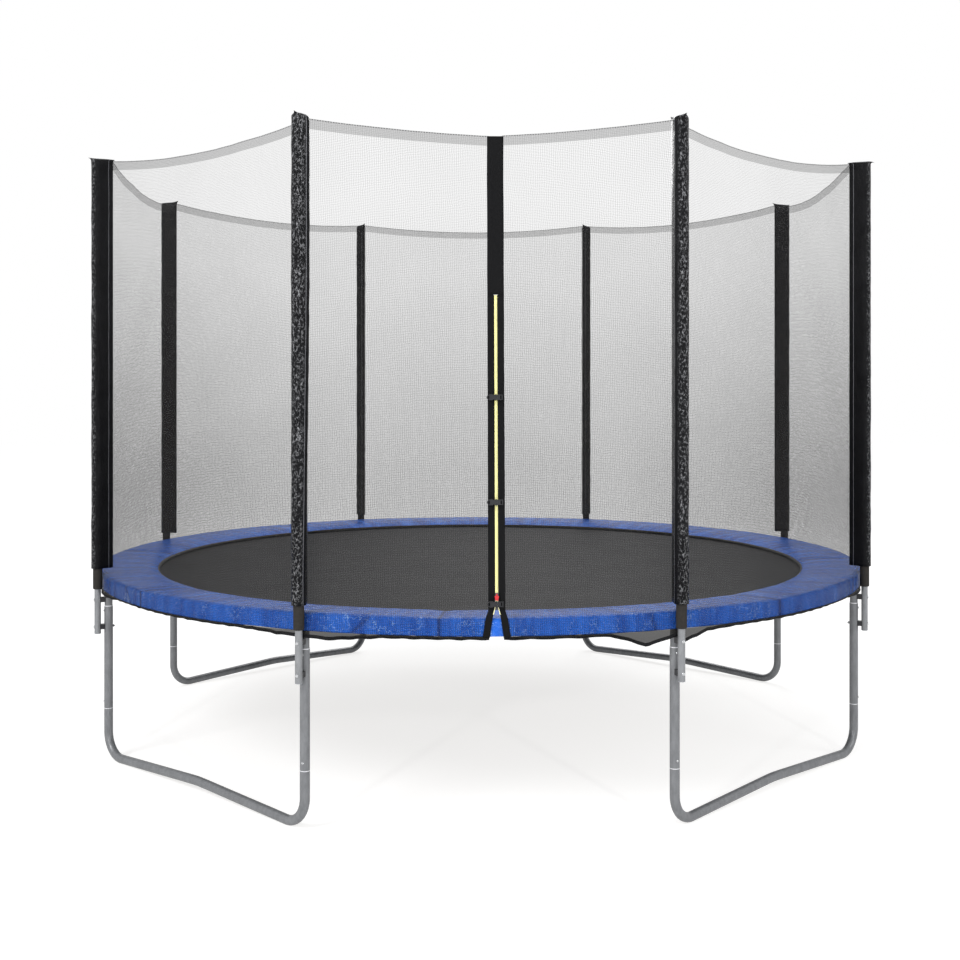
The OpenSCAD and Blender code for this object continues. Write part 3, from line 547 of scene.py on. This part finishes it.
pad_round = 11.31
pad_along = lengths_along([Vector((r, z / 1000)) for r, z in pad_line[::-1] + pad_line[-1:]])
pad_skin = sewn_skin("pad_skin", pad_rows[::-1], coated_blue, "frame", round_rows=True, round_columns=True,
    chart=lambda r, c: (c / pad_steps * pad_round, pad_along[r]))
pad_skin.data.materials.append(black_backing)
weld_lines_and_fold_shade, glint_shares = [], []
for number in range(len(pad_line) - 1, -1, -1):
    for c in range(pad_steps):
        angle = 360 * c / pad_steps
        line = math.exp(-(weld_gap(angle) / 0.16) ** 2)
        near = math.exp(-(weld_gap(angle) / 4) ** 2)
        for azimuth, lean in pad_folds:
            near = max(near, math.exp(-(((angle - azimuth + 180) % 360 - 180) / 4) ** 2))
        # On the skirt the crease mark also carries painted shade along the folds.
        if crown_end <= number <= skirt_end:
            line = max(line, 0.8 * max(0, min(1, folded(angle, pad_line[number][1]))))
        weld_lines_and_fold_shade.append(line)
        # The edge mark is the share of the painted glints: high on the skirt near welds and folds, low
        # elsewhere.
        outside = crown_end - 3 <= number <= skirt_end
        glint_shares.append(0.4 + 0.6 * near if outside else 0.1 + 0.25 * near)
mark(pad_skin, "crease", weld_lines_and_fold_shade)
mark(pad_skin, "edge", glint_shares)
for face in pad_skin.data.polygons:
    row = len(pad_line) - 2 - face.index // pad_steps
    if row < edge_end or row > skirt_end + 3:
        face.material_index = 1
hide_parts("safety_pad")

# Pad ties: flat black elastic loops that hold the pad to the rail, two to each rail.
# Each is woven of rubber cord and yarn, and goes once round the tube under the pad.
rail_at, rail_r = 1.8085, 0.019
ties_n = 16
tie_steps = 24
tie_rows = []
for k in range(tie_steps):
    swing = -2 * math.pi * k / tie_steps
    row = []
    for x in (-0.0050, -0.0036, 0, 0.0036, 0.0050):
        reach = rail_r + (0.0006 if abs(x) > 0.0049 else 0.0010)
        row.append((x, reach * math.cos(swing) - rail_at, ring_z + reach * math.sin(swing)))
    tie_rows.append(row)
tie_unit = skin_of("tie_unit", tie_rows, quads_of(tie_rows, round_columns=True))

elastic, tree, shader = finish_of("black_elastic", (0.02, 0.02, 0.022), 0.7)
cords = banded(tree, on_piece(tree), "Z", 240.0)
coloured(tree, shader, cords, (0.012, 0.012, 0.013), (0.05, 0.05, 0.052))
raised(tree, shader, cords, 0.0004)
pad_loops = repeated("pad_loops", tie_unit, ties_n, elastic, "frame", turn=360, first=180 / ties_n)
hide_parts("pad_ties")

# Foam tubes: grey-brown closed-cell foam round each pole, from the pad's edge to under the cover's top.
# They are cut from extruded tube, pushed over the poles and held by the covers.
pole_at = 1.8555
foam_in, foam_out = 0.0143, 0.0205

def pole_az(k):
    """Azimuth of a pole in degrees; a number between two whole ones gives a place between two poles."""
    return bay * (k + 0.5)

foam_skin, tree, shader = finish_of("grey_foam", (0.055, 0.05, 0.045), 0.85, gloss=0.1)
coloured(tree, shader, spotted(tree, 90, 5, 0.7), (0.018, 0.0165, 0.015), (0.044, 0.040, 0.036))
raised(tree, shader, spotted(tree, 420, 4, 0.7), 0.0009)

foam_line = [(foam_in, 762), (foam_in + 0.0012, 758.6), (foam_out - 0.0022, 758.2), (foam_out - 0.0005, 760),
    (foam_out, 763), (foam_out, 790), (foam_out, 830), (foam_out, 900), (foam_out, 1400), (foam_out, 2000),
    (foam_out, 2596), (foam_out - 0.0022, 2599.6), (foam_in + 0.0012, 2599.4), (foam_in, 2596)]
foam_sides = 28
foam_rows = []
for r, z in foam_line:
    swings = [2 * math.pi * k / foam_sides for k in range(foam_sides)]
    foam_rows.append([(r * math.sin(swing), -pole_at - r * math.cos(swing), z / 1000) for swing in swings])
foam_unit = skin_of("foam_unit", foam_rows, quads_of(foam_rows, round_rows=True, round_columns=True))
pole_foam = repeated("pole_foam", foam_unit, poles_n, foam_skin, "frame", turn=360, first=pole_az(0))
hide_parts("foam_tubes")

# Pole covers: sleeves of thin shiny black cloth over foam and pole. Each is sewn along its inner side
# to the net, and pinched to a flat seam at the top, whose two corners stick out, each in its own way.
cover_r = 0.028
cover_seam = 0.066
cover_low, cover_high = 0.850, 2.6685
cover_wall = 0.0012
cover_laid = 0.0766

def on_pattern(tree):
    """Output of a place on the piece's flat pattern, in metres."""
    return add_node(tree, "ShaderNodeUVMap", uv_map="flat").outputs[0]

def stitched(tree, across, along, line, half, pitch, space):
    """0-1 output of a dashed row of stitches: its line and half width across, its pitch and gaps along."""
    row = maths(tree, "COMPARE", across, line, half)
    dash = maths(tree, "GREATER_THAN", maths(tree, "MODULO", along, pitch), space)
    return maths(tree, "MULTIPLY", row, dash)

def strayed(tree, place, scale, detail, reach):
    """Output of a place that wanders smoothly, by a reach along each axis."""
    stray = add_node(tree, "ShaderNodeTexNoise", {"Vector": place, "Scale": scale, "Detail": detail})
    return add_node(tree, "ShaderNodeVectorMath", {0: stray.outputs["Color"], 1: reach, 2: place},
        operation="MULTIPLY_ADD").outputs[0]

shiny_black, tree, shader = finish_of("shiny_black_cloth", (0.006, 0.006, 0.007), 0.18, gloss=0.05)
pattern = axes_of(tree, on_pattern(tree))
thread = stitched(tree, pattern["X"], pattern["Y"], 0.0, 0.0014, 0.0050, 0.0012)
cloth = between(tree, spotted(tree, 12, 4), (0.003, 0.003, 0.0035), (0.011, 0.011, 0.012))
cloth = between(tree, thread, cloth, (0.16, 0.16, 0.17))
crumpled = strayed(tree, on_piece(tree), 110.0, 2.0, (0.012, 0.012, 0.012))
drawn_long = add_node(tree, "ShaderNodeMapping", {"Vector": crumpled, "Scale": (1, 1, 0.5)}).outputs[0]
# Painted glints: thin light lines of base colour along crinkle facets, standing in for highlights on the
# shiny creased cloth, in patches and only on each cover's outward side.
facets = add_node(tree, "ShaderNodeTexVoronoi", {"Vector": drawn_long, "Scale": 125.0},
    feature="DISTANCE_TO_EDGE")
glint_lines = ranged(tree, facets.outputs["Distance"], 1.0, 0.0, 0.0, 0.14)
glint_patches = ranged(tree, spotted(tree, 130, 2, 0.5, (1, 1, 0.6)), 0.0, 1.0, 0.44, 0.70)
painted_glints = maths(tree, "MULTIPLY", maths(tree, "MULTIPLY", glint_lines, glint_patches), marked(tree, "glint_side"))
coloured(tree, shader, painted_glints, cloth, (0.30, 0.30, 0.31))
roughened(tree, shader, spotted(tree, 40, 4), 0.11, 0.22)
raised(tree, shader, maths(tree, "ADD", spotted(tree, 26, 5, 0.6, (1, 1, 0.45)),
    spotted(tree, 130, 4, 0.7, (1, 1, 0.6))), 0.004)

def cover_outline(steps):
    """Teardrop round the pole, from the seam round the outside and back; the seam is at +y."""
    lean = math.asin(cover_r / cover_seam)
    sweep = math.pi + 2 * lean
    outline = []
    side = 6
    for n in range(side):
        share = n / side
        outline.append((0.0015 + share * (cover_r * math.cos(lean) - 0.0015),
            cover_seam + share * (cover_r * math.sin(lean) - cover_seam)))
    for n in range(steps + 1):
        swing = lean - sweep * n / steps
        outline.append((cover_r * math.cos(swing), cover_r * math.sin(swing)))
    for n in range(side - 1, -1, -1):
        x, y = outline[n]
        outline.append((-x, y))
    return outline

# Millimetres that the corners of each top seam stick out and up: the outer one, then the one at the net.
cover_corners = ((0, 1, 0, 6), (4, -7, 0, -3), (0, 1, 5, 5), (0, 6, 0, 2), (0, 5, 2, 4), (0, -4, 2, 7),
    (2, 1, 0, -2), (0, 4, 0, -2))
# Distance from the sewn edge to the pale line of stitches that shuts each cover, round the cloth.
cover_stitches = (0.1656, 0.2110, 0.0210, 0.2110, 0.0210, 0.2110, 0.0210, 0.0843)
# Metres by which each cover hangs loose on one side, towards its top.
cover_slack = (0, 0, 0, 0, 0, 0, 0, 0.016)

outline = cover_outline(26)
around = [0.0]
for here, after in zip(outline, outline[1:]):
    around.append(around[-1] + math.dist(here, after))
for k in range(poles_n):
    rows = []
    heights = [cover_low + (cover_high - 0.018 - cover_low) * n / 110 for n in range(111)]
    heights += [cover_high - drop for drop in (0.014, 0.010, 0.007, 0.005, 0.0035, 0.002, 0.001, 0.0004)]
    out_reach, out_lift, in_reach, in_lift = (share / 1000 for share in cover_corners[k])
    # pinch presses the section flat at the top, loose lets it crumple between its ends, and grip
    # leaves it still at the sewn edge. laid is a point's place along the flat top seam.
    for level, z in enumerate(heights):
        pinch = max(0, (z - cover_high + 0.02) / 0.02) ** 4
        loose = min(1, level / 6) * min(1, (len(heights) - level) / 8)
        row = []
        for n, (x, y) in enumerate(outline):
            out = Vector((x, y)).normalized()
            grip = min(1, max(0, (cover_seam - y - 0.004) / 0.02))
            puff = grip * loose * (0.0016 * ripple(out.x * 1.7, out.y * 1.7, z * 9, k)
                + 0.0013 * ripple(out.x * 4, out.y * 4, z * 26, k + 9) - 0.0008)
            x, y = x + out.x * puff, y + out.y * puff
            slack = min(1, max(0, (z - 0.95) / 1.1)) * min(1, (cover_high - z) / 0.02)
            x += cover_slack[k] * grip * max(0, out.x) * slack
            laid = cover_laid - min(around[n], around[-1] - around[n])
            outer = min(1, max(0, (-0.012 - laid) / 0.027))
            inner = min(1, max(0, (laid - 0.030) / 0.046))
            y += (laid - out_reach * outer + in_reach * inner - y) * pinch
            x += (math.copysign(0.0007, x) - x) * pinch
            row.append((x, y, z + (out_lift * outer ** 2 + in_lift * inner ** 2) * pinch))
        about_z = Matrix.Rotation(math.radians(pole_az(k)), 4, "Z")
        rows.append([about_z @ Vector((x, y - pole_at, z)) for x, y, z in row])
    middle = [(rows[-1][n] + rows[-1][-1 - n]) / 2 for n in range(len(outline))]
    rows.append([p + Vector((0, 0, 0.0006)) for p in middle])
    cover = sewn_skin(f"pole_cover_{k + 1}", rows, shiny_black, "frame", round_rows=True,
        chart=lambda r, c: (around[c % len(outline)] - cover_stitches[k], r * 0.0166))
    # Share of the painted glints at each point round the cover: full on its outward-facing middle, fading to
    # none towards the sewn edge.
    glint_side_shares = []
    for row in rows:
        for n in range(len(row)):
            turned = abs(min(around[n], around[-1] - around[n]) - around[-1] / 2) / cover_r
            glint_side_shares.append(max(0, min(1, (math.radians(70) - turned) / math.radians(34))))
    mark(cover, "glint_side", glint_side_shares)
    faced_out(cover, merge=0.00005)
    thick = cover.modifiers.new("cloth", "SOLIDIFY")
    thick.thickness = cover_wall
    thick.offset = -1
    if k == 0:
        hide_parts("pole_covers")

# Safety net: eight panels of fine black mesh, each stretched between two sewn covers,
# with a hem over the top edge and a gathered lower hem tucked under the pad's skirt.
door_k = poles_n - 1
net_mid = 1.8334
seam_r = 1.7895
net_rim = 0.848
net_top, net_sag = 2.661, 0.055
sag_share = (1, 1.16, 0.9, 0.78, 0.76, 1.16, 0.78, 1.16)
edge_deg = math.degrees(0.0023 / seam_r)
net_over_pad = 0.8255
skirt_bottom = 0.752
panel_w = 2 * seam_r * math.sin(math.radians(bay / 2))
door_x, door_half = 0.018, 0.026

def spans_of(k):
    """Shares of a panel that its lengths of mesh cover: the whole, or both sides of the door."""
    if k != door_k:
        return [(0.0, 1.0)]
    return [(0.0, 0.5 + (door_x - door_half) / panel_w), (0.5 + (door_x + door_half) / panel_w, 1.0)]

see_through, tree, shader = finish_of("fine_mesh", (0.024, 0.023, 0.022), 0.7, gloss=0.05)
drawn = axes_of(tree, strayed(tree, on_pattern(tree), 26.0, 3.0, (0.011, 0.011, 0)))
threads = []
for axis, pitch in (("X", 0.0070), ("Y", 0.0060)):
    wave = maths(tree, "SINE", maths(tree, "MULTIPLY", drawn[axis], 2 * math.pi / pitch))
    threads.append(ranged(tree, wave, 0.0, 1.0, 0.70, 1.0))
knit = maths(tree, "MAXIMUM", *threads)
place = axes_of(tree, on_piece(tree))
haze = maths(tree, "ADD", ranged(tree, place["Z"], 0.155, 0.05, 1.15, 2.35),
    ranged(tree, spotted(tree, 3, 4), -0.03, 0.03))
thread_share = ranged(tree, place["Z"], 0.55, 0.35, 1.15, 2.35)
dense = maths(tree, "MULTIPLY_ADD", knit, thread_share, haze)
aside = ranged(tree, maths(tree, "ABSOLUTE", place["X"]), 1.0, 1.5, 0.9, 1.8)
gathered = ranged(tree, place["Z"], 0.9, 0.0, 0.7515, 0.7545)
dense = maths(tree, "MAXIMUM", maths(tree, "MULTIPLY", dense, aside), gathered)
tree.links.new(dense, shader.inputs["Alpha"])

def net_place(k, u, v):
    """Place on the net's middle at share u across a panel and v up from the pad's edge."""
    left, right = pole_az(k) + edge_deg, pole_az(k + 1) - edge_deg
    angle = blend_of(left, right, u)
    chord = on_ring(seam_r, left, 0).lerp(on_ring(seam_r, right, 0), u)
    bulge = (1 - v) * (1 - abs(2 * u - 1) ** 6)
    spot = chord.lerp(on_ring(net_mid, angle, 0), bulge)
    bow = 4 * u * (1 - u)
    if k == door_k:
        bow = (bow + 1 - abs(2 * u - 1)) / 2
    top = net_top - net_sag * sag_share[k] * bow
    out = on_ring(1, angle, 0)
    hold = min(1, u * 14) * min(1, (1 - u) * 14) * min(1, v * 5)
    slack = hold * (0.006 * ripple(u * 5, v * 3, k, 20) + 0.004 * ripple(u * 16 + v * 3, v * 4, k, 21))
    drawn = 0.010 * math.sin(u * 40 + k) * math.exp(-v * 14) * min(1, v * 20) * hold
    return spot + out * (slack + drawn) + Vector((0, 0, blend_of(net_rim, top, v)))

def peak(u, at, width):
    """Straight-sided peak of 1 at a place, down to 0 at a width from it."""
    return max(0, 1 - abs(u - at) / width)

def droop(k, u):
    """How far the lower hem hangs below its line."""
    if k == door_k:
        return 0.043 * peak(u, 0.915, 0.1) + 0.015 * peak(u, 0.08, 0.14)
    low = 0.008 * (peak(u, 0.08, 0.14) + peak(u, 0.92, 0.14))
    return low + (0.030 * peak(u, 0.012, 0.085) if k == 0 else 0)

def net_foot(k, u, step):
    """Lower rows of a panel: 0 the tucked hem, 1 below the skirt, 2 its middle, 3 over the pad's edge."""
    angle = blend_of(pole_az(k) + edge_deg, pole_az(k + 1) - edge_deg, u)
    tuck = min(1, max(0, (0.5 - abs(u - 0.5) - 0.03) / 0.09))
    gather = 0.0007 * math.sin(angle * 16) + 0.0006 * ripple(angle, 0, 0, 30)
    if step == 0:
        return on_ring(net_mid - 0.030 * tuck, angle, skirt_bottom - 0.009 - droop(k, u) + 2 * gather)
    if step == 1:
        return on_ring(net_mid - 0.012 * tuck, angle, skirt_bottom - 0.008 - 0.7 * droop(k, u))
    if step == 2:
        return on_ring(net_mid, angle, skirt_bottom - 0.004)
    return on_ring(net_mid + max(0, gather), angle, blend_of(skirt_bottom, net_over_pad, step - 2))

for k in range(poles_n):
    for number, (first, last) in enumerate(spans_of(k)):
        columns = 36 if k == door_k else 72
        shares = [blend_of(first, last, c / columns) for c in range(columns + 1)]
        steps = [n / 56 for n in range(57)]
        rows = [[net_foot(k, u, s) for u in shares] for s in (0, 1, 2, 2.5, 3)]
        rows += [[net_place(k, u, v) for u in shares] for v in steps]
        across = lengths_along(rows[20])
        up = lengths_along([row[columns // 2] for row in rows])
        name = f"net_door_{('left', 'right')[number]}" if k == door_k else f"net_panel_{k + 1}"
        panel = sewn_skin(name, rows, see_through, "frame", chart=lambda r, c: (across[c], up[r]))
        if k == 0:
            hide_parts("safety_net")

# Net hems: the mesh is folded over and stitched along the top, and an elastic is sewn into the lower
# edge, which it draws in under the pad's skirt.
hem_share, hem_w = 0.0218, 0.039
hem_steps = 48

hem_mesh, tree, shader = finish_of("folded_mesh_hem", (0.02, 0.02, 0.022), 0.7, gloss=0.05)
pattern = axes_of(tree, on_pattern(tree))
thread = stitched(tree, pattern["Y"], pattern["X"], 0.0026, 0.0016, 0.010, 0.0035)
dense = maths(tree, "MULTIPLY_ADD", thread, 0.5, ranged(tree, spotted(tree, 400, 3), 0.20, 0.50),
    use_clamp=True)
tree.links.new(dense, shader.inputs["Alpha"])

hem_elastic, tree, shader = finish_of("hem_elastic", (0.018, 0.018, 0.02), 0.65, gloss=0.05)
coloured(tree, shader, spotted(tree, 500, 3), (0.006, 0.006, 0.007), (0.02, 0.02, 0.021))
raised(tree, shader, spotted(tree, 700, 2), 0.0006)

for k in range(poles_n):
    for number, (first, last) in enumerate(spans_of(k)):
        shares = [blend_of(first, last, c / hem_steps) for c in range(hem_steps + 1)]
        top_rows = []
        for n in range(5):
            top_rows.append([net_place(k, u, 1 - hem_share * n / 4)
                + on_ring(0.0007, pole_az(k + u), 0) for u in shares])
        top_hem = sewn_skin(f"net_top_hem_{k + 1}{'ab'[number]}", top_rows[::-1], hem_mesh, "frame",
            chart=lambda r, c: (shares[c] * panel_w, hem_w * (4 - r) / 4))
        low_rows = []
        for n in range(8):
            swing = 2 * math.pi * n / 8
            low_rows.append([net_foot(k, u, 0) + on_ring(0.0026 * math.cos(swing), pole_az(k + u),
                0.0068 * math.sin(swing) - 0.002) for u in shares])
        low_hem = sewn_skin(f"net_low_hem_{k + 1}{'ab'[number]}", low_rows, hem_elastic, "frame",
            round_columns=True)

# Door: black webbing down the middle of the front panel. Above the zip it is one closed band, beside the
# zip it is two tapes, and below it the tapes spread as two straps over the pad's skirt.
door_foot = Vector((door_x, -net_mid, net_rim))
door_head = Vector((door_x, -seam_r * math.cos(math.radians(bay / 2 - edge_deg)),
    net_top - net_sag * sag_share[door_k]))
door_len = (door_head - door_foot).length
door_lean = math.atan2(door_head.y - door_foot.y, door_head.z - door_foot.z)

def on_door(x, out, up):
    """Point on the door: across, outwards from the net, and up its slope from the pad's edge."""
    return door_foot + Vector((x, up * math.sin(door_lean) - out * math.cos(door_lean),
        up * math.cos(door_lean) + out * math.sin(door_lean)))

band_half = 0.031
slot_half = 0.0072
band_in, band_out = 0.0013, 0.0033
zip_low, zip_high = 0.038, 1.156

band_weave, tree, shader = finish_of("door_webbing", (0.008, 0.008, 0.009), 0.6, gloss=0.08)
flat = on_pattern(tree)
cross = maths(tree, "MULTIPLY", banded(tree, flat, "X", 150.0, 0.6), banded(tree, flat, "Y", 220.0, 0.6))
coloured(tree, shader, cross, (0.004, 0.004, 0.0045), (0.015, 0.015, 0.016))
raised(tree, shader, cross, 0.0007)

# Round a tape: share of its width, share of its thickness, and place on its flat pattern as a share.
tape_section = ((0, 0.5, 0), (0.02, 0.1, 0.1), (0.5, 0, 0.5), (0.98, 0.1, 0.9), (1, 0.5, 1),
    (0.98, 0.92, 1.02), (0.85, 1, 0.85), (0.5, 0.94, 0.5), (0.15, 1, 0.15), (0.02, 0.92, 0.02))

def tape(name, line, material):
    """Flat tape with rounded edges through pairs of (left, right) points with their outward way."""
    rows = []
    for left, right, out in line:
        thick = out * (band_out - band_in)
        rows.append([left.lerp(right, across) + thick * deep for across, deep, laid in tape_section])
    lengths = lengths_along([(left + right) / 2 for left, right, out in line])
    wide = (line[0][1] - line[0][0]).length
    made = sewn_skin(name, rows, material, "frame", round_rows=True,
        chart=lambda r, c: (tape_section[c % len(tape_section)][2] * wide, lengths[r]))
    faced_out(made)
    return made

facing = Vector((0, -math.cos(door_lean), math.sin(door_lean)))
line = []
for n in range(41):
    up = zip_high + (door_len - 0.001 - zip_high) * n / 40
    wave = 0.0012 * ripple(up * 6, 0, 0, 40)
    line.append((on_door(-band_half + wave, band_in, up), on_door(band_half + wave, band_in, up), facing))
door_band = tape("door_band_top", line, band_weave)
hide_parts("door_band")
strap_y = -(net_mid + 0.0008 + 0.0009)
strap_half = 0.013
for side, side_name in ((-1, "left"), (1, "right")):
    line = []
    for n in range(9):
        middle, z = blend_of(0.038, 0.0266, n / 9), blend_of(0.749, 0.826, n / 9)
        line.append([Vector((door_x + side * middle + edge, strap_y - 0.0005 * ripple(n, side, 0, seed), z))
            for edge, seed in ((-strap_half, 41), (strap_half, 42))] + [Vector((0, -1, 0))])
    for n in range(75):
        up = (zip_high + 0.0005) * n / 74
        wave = 0.0010 * ripple(up * 8, side, 0, 43) * min(1, n / 6) * min(1, (74 - n) / 6)
        inner, outer = slot_half, band_half + wave
        left, right = (-outer, -inner) if side < 0 else (inner, outer)
        line.append((on_door(left, band_in, up), on_door(right, band_in, up), facing))
    door_tape = tape(f"door_tape_{side_name}", line, band_weave)

# Zip: a yellow coil of teeth on its own tape, closed from the pad's edge up to the band. The tape
# is sewn behind the door's webbing, and its two ends part below the slider.
zip_yellow, tree, shader = finish_of("zip_yellow", (0.95, 0.92, 0.5), 0.4)
coloured(tree, shader, spotted(tree, 220, 2), (0.92, 0.88, 0.42), (0.98, 0.96, 0.60))

tooth_pitch = 0.0035
teeth_n = int((zip_high - 0.002 - zip_low) / tooth_pitch)
tooth_points, tooth_faces = [], []
tooth_line = ((0.0006, -0.0003), (0.0006, 0.0042), (0.0012, 0.0042), (0.0024, 0.0030), (0.0031, 0.0012),
    (0.0032, -0.0003))
for side in (-1, 1):
    middle = zip_low + tooth_pitch / 2 + side * tooth_pitch / 4
    start = len(tooth_points)
    for x, out in tooth_line:
        for up in (-0.0011, 0.0011):
            x_in = x - 0.0004 * (out > 0.004)
            tooth_points.append(on_door(side * x_in, max(0.0003, out), middle + up))
    for n in range(5):
        a = start + 2 * n
        quad = (a, a + 1, a + 3, a + 2)
        tooth_faces.append(quad if side > 0 else quad[::-1])
    low_end = tuple(start + 2 * n for n in range(6))
    high_end = tuple(start + 2 * n + 1 for n in range(5, -1, -1))
    back = (start + 10, start + 11, start + 1, start)
    tooth_faces += [end if side > 0 else end[::-1] for end in (low_end, high_end, back)]
tooth_mesh = bpy.data.meshes.new("tooth_unit")
tooth_mesh.from_pydata(tooth_points, [], tooth_faces)
tooth_unit = bpy.data.objects.new("tooth_unit", tooth_mesh)
bpy.context.collection.objects.link(tooth_unit)

zip_row = repeated("zip_row", tooth_unit, teeth_n, zip_yellow, "frame",
    step=tuple(on_door(0, 0, tooth_pitch) - on_door(0, 0, 0)))
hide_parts("zip_teeth")

tape_half = 0.0098
line = []
for n in range(61):
    up = zip_low + (zip_high - 0.002 - zip_low) * n / 60
    line.append((on_door(-tape_half, 0.0002, up), on_door(tape_half, 0.0002, up), facing * 0.35))
zip_tape, tree, shader = finish_of("zip_tape", (0.9, 0.86, 0.36), 0.7)
dyed = maths(tree, "COMPARE", axes_of(tree, on_pattern(tree))["X"], tape_half, 0.0052)
coloured(tree, shader, dyed, (0.006, 0.006, 0.007), (0.88, 0.83, 0.34))
raised(tree, shader, spotted(tree, 900, 2), 0.0002)
zip_cloth = tape("zip_cloth", line, zip_tape)
for side, side_name in ((-1, "left"), (1, "right")):
    line = []
    for n in range(9):
        off = side * blend_of(0.0022, 0.0125, (n / 8) ** 1.4)
        up = zip_low - 0.001 - 0.0066 * n
        line.append((on_door(off - 0.0016, 0.0022, up), on_door(off + 0.0016, 0.0022, up), facing))
    zip_end = tape(f"zip_end_{side_name}", line[::-1], zip_yellow)

# Buckle straps: short webbing tabs, sewn to the door's band, that hold each half of a buckle.
# Each stands out from the band as far as the bar at the buckle's end.
buckle_spots = (0.022, 0.389, 0.772)
tab_half = 0.010
# From the band outwards: millimetres from the door's middle, 8 less on the right, and out from the net.
tab_line = ((30, 4.0), (29.6, 6.0), (28.2, 9.0), (27.2, 11.5), (27.0, 12.9))
for number, up in enumerate(buckle_spots):
    for side in (-1, 1):
        line = []
        for x, out in tab_line:
            off = side * (x - (8 if side > 0 else 0)) / 1000
            low = on_door(off, out / 1000, up - tab_half)
            high = on_door(off, out / 1000, up + tab_half)
            line.append((low, high, Vector((-1, 0, 0))) if side > 0 else (high, low, Vector((1, 0, 0))))
        tab = tape(f"buckle_tab_{number + 1}{'ab'[side > 0]}", line, band_weave)
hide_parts("buckle_straps")
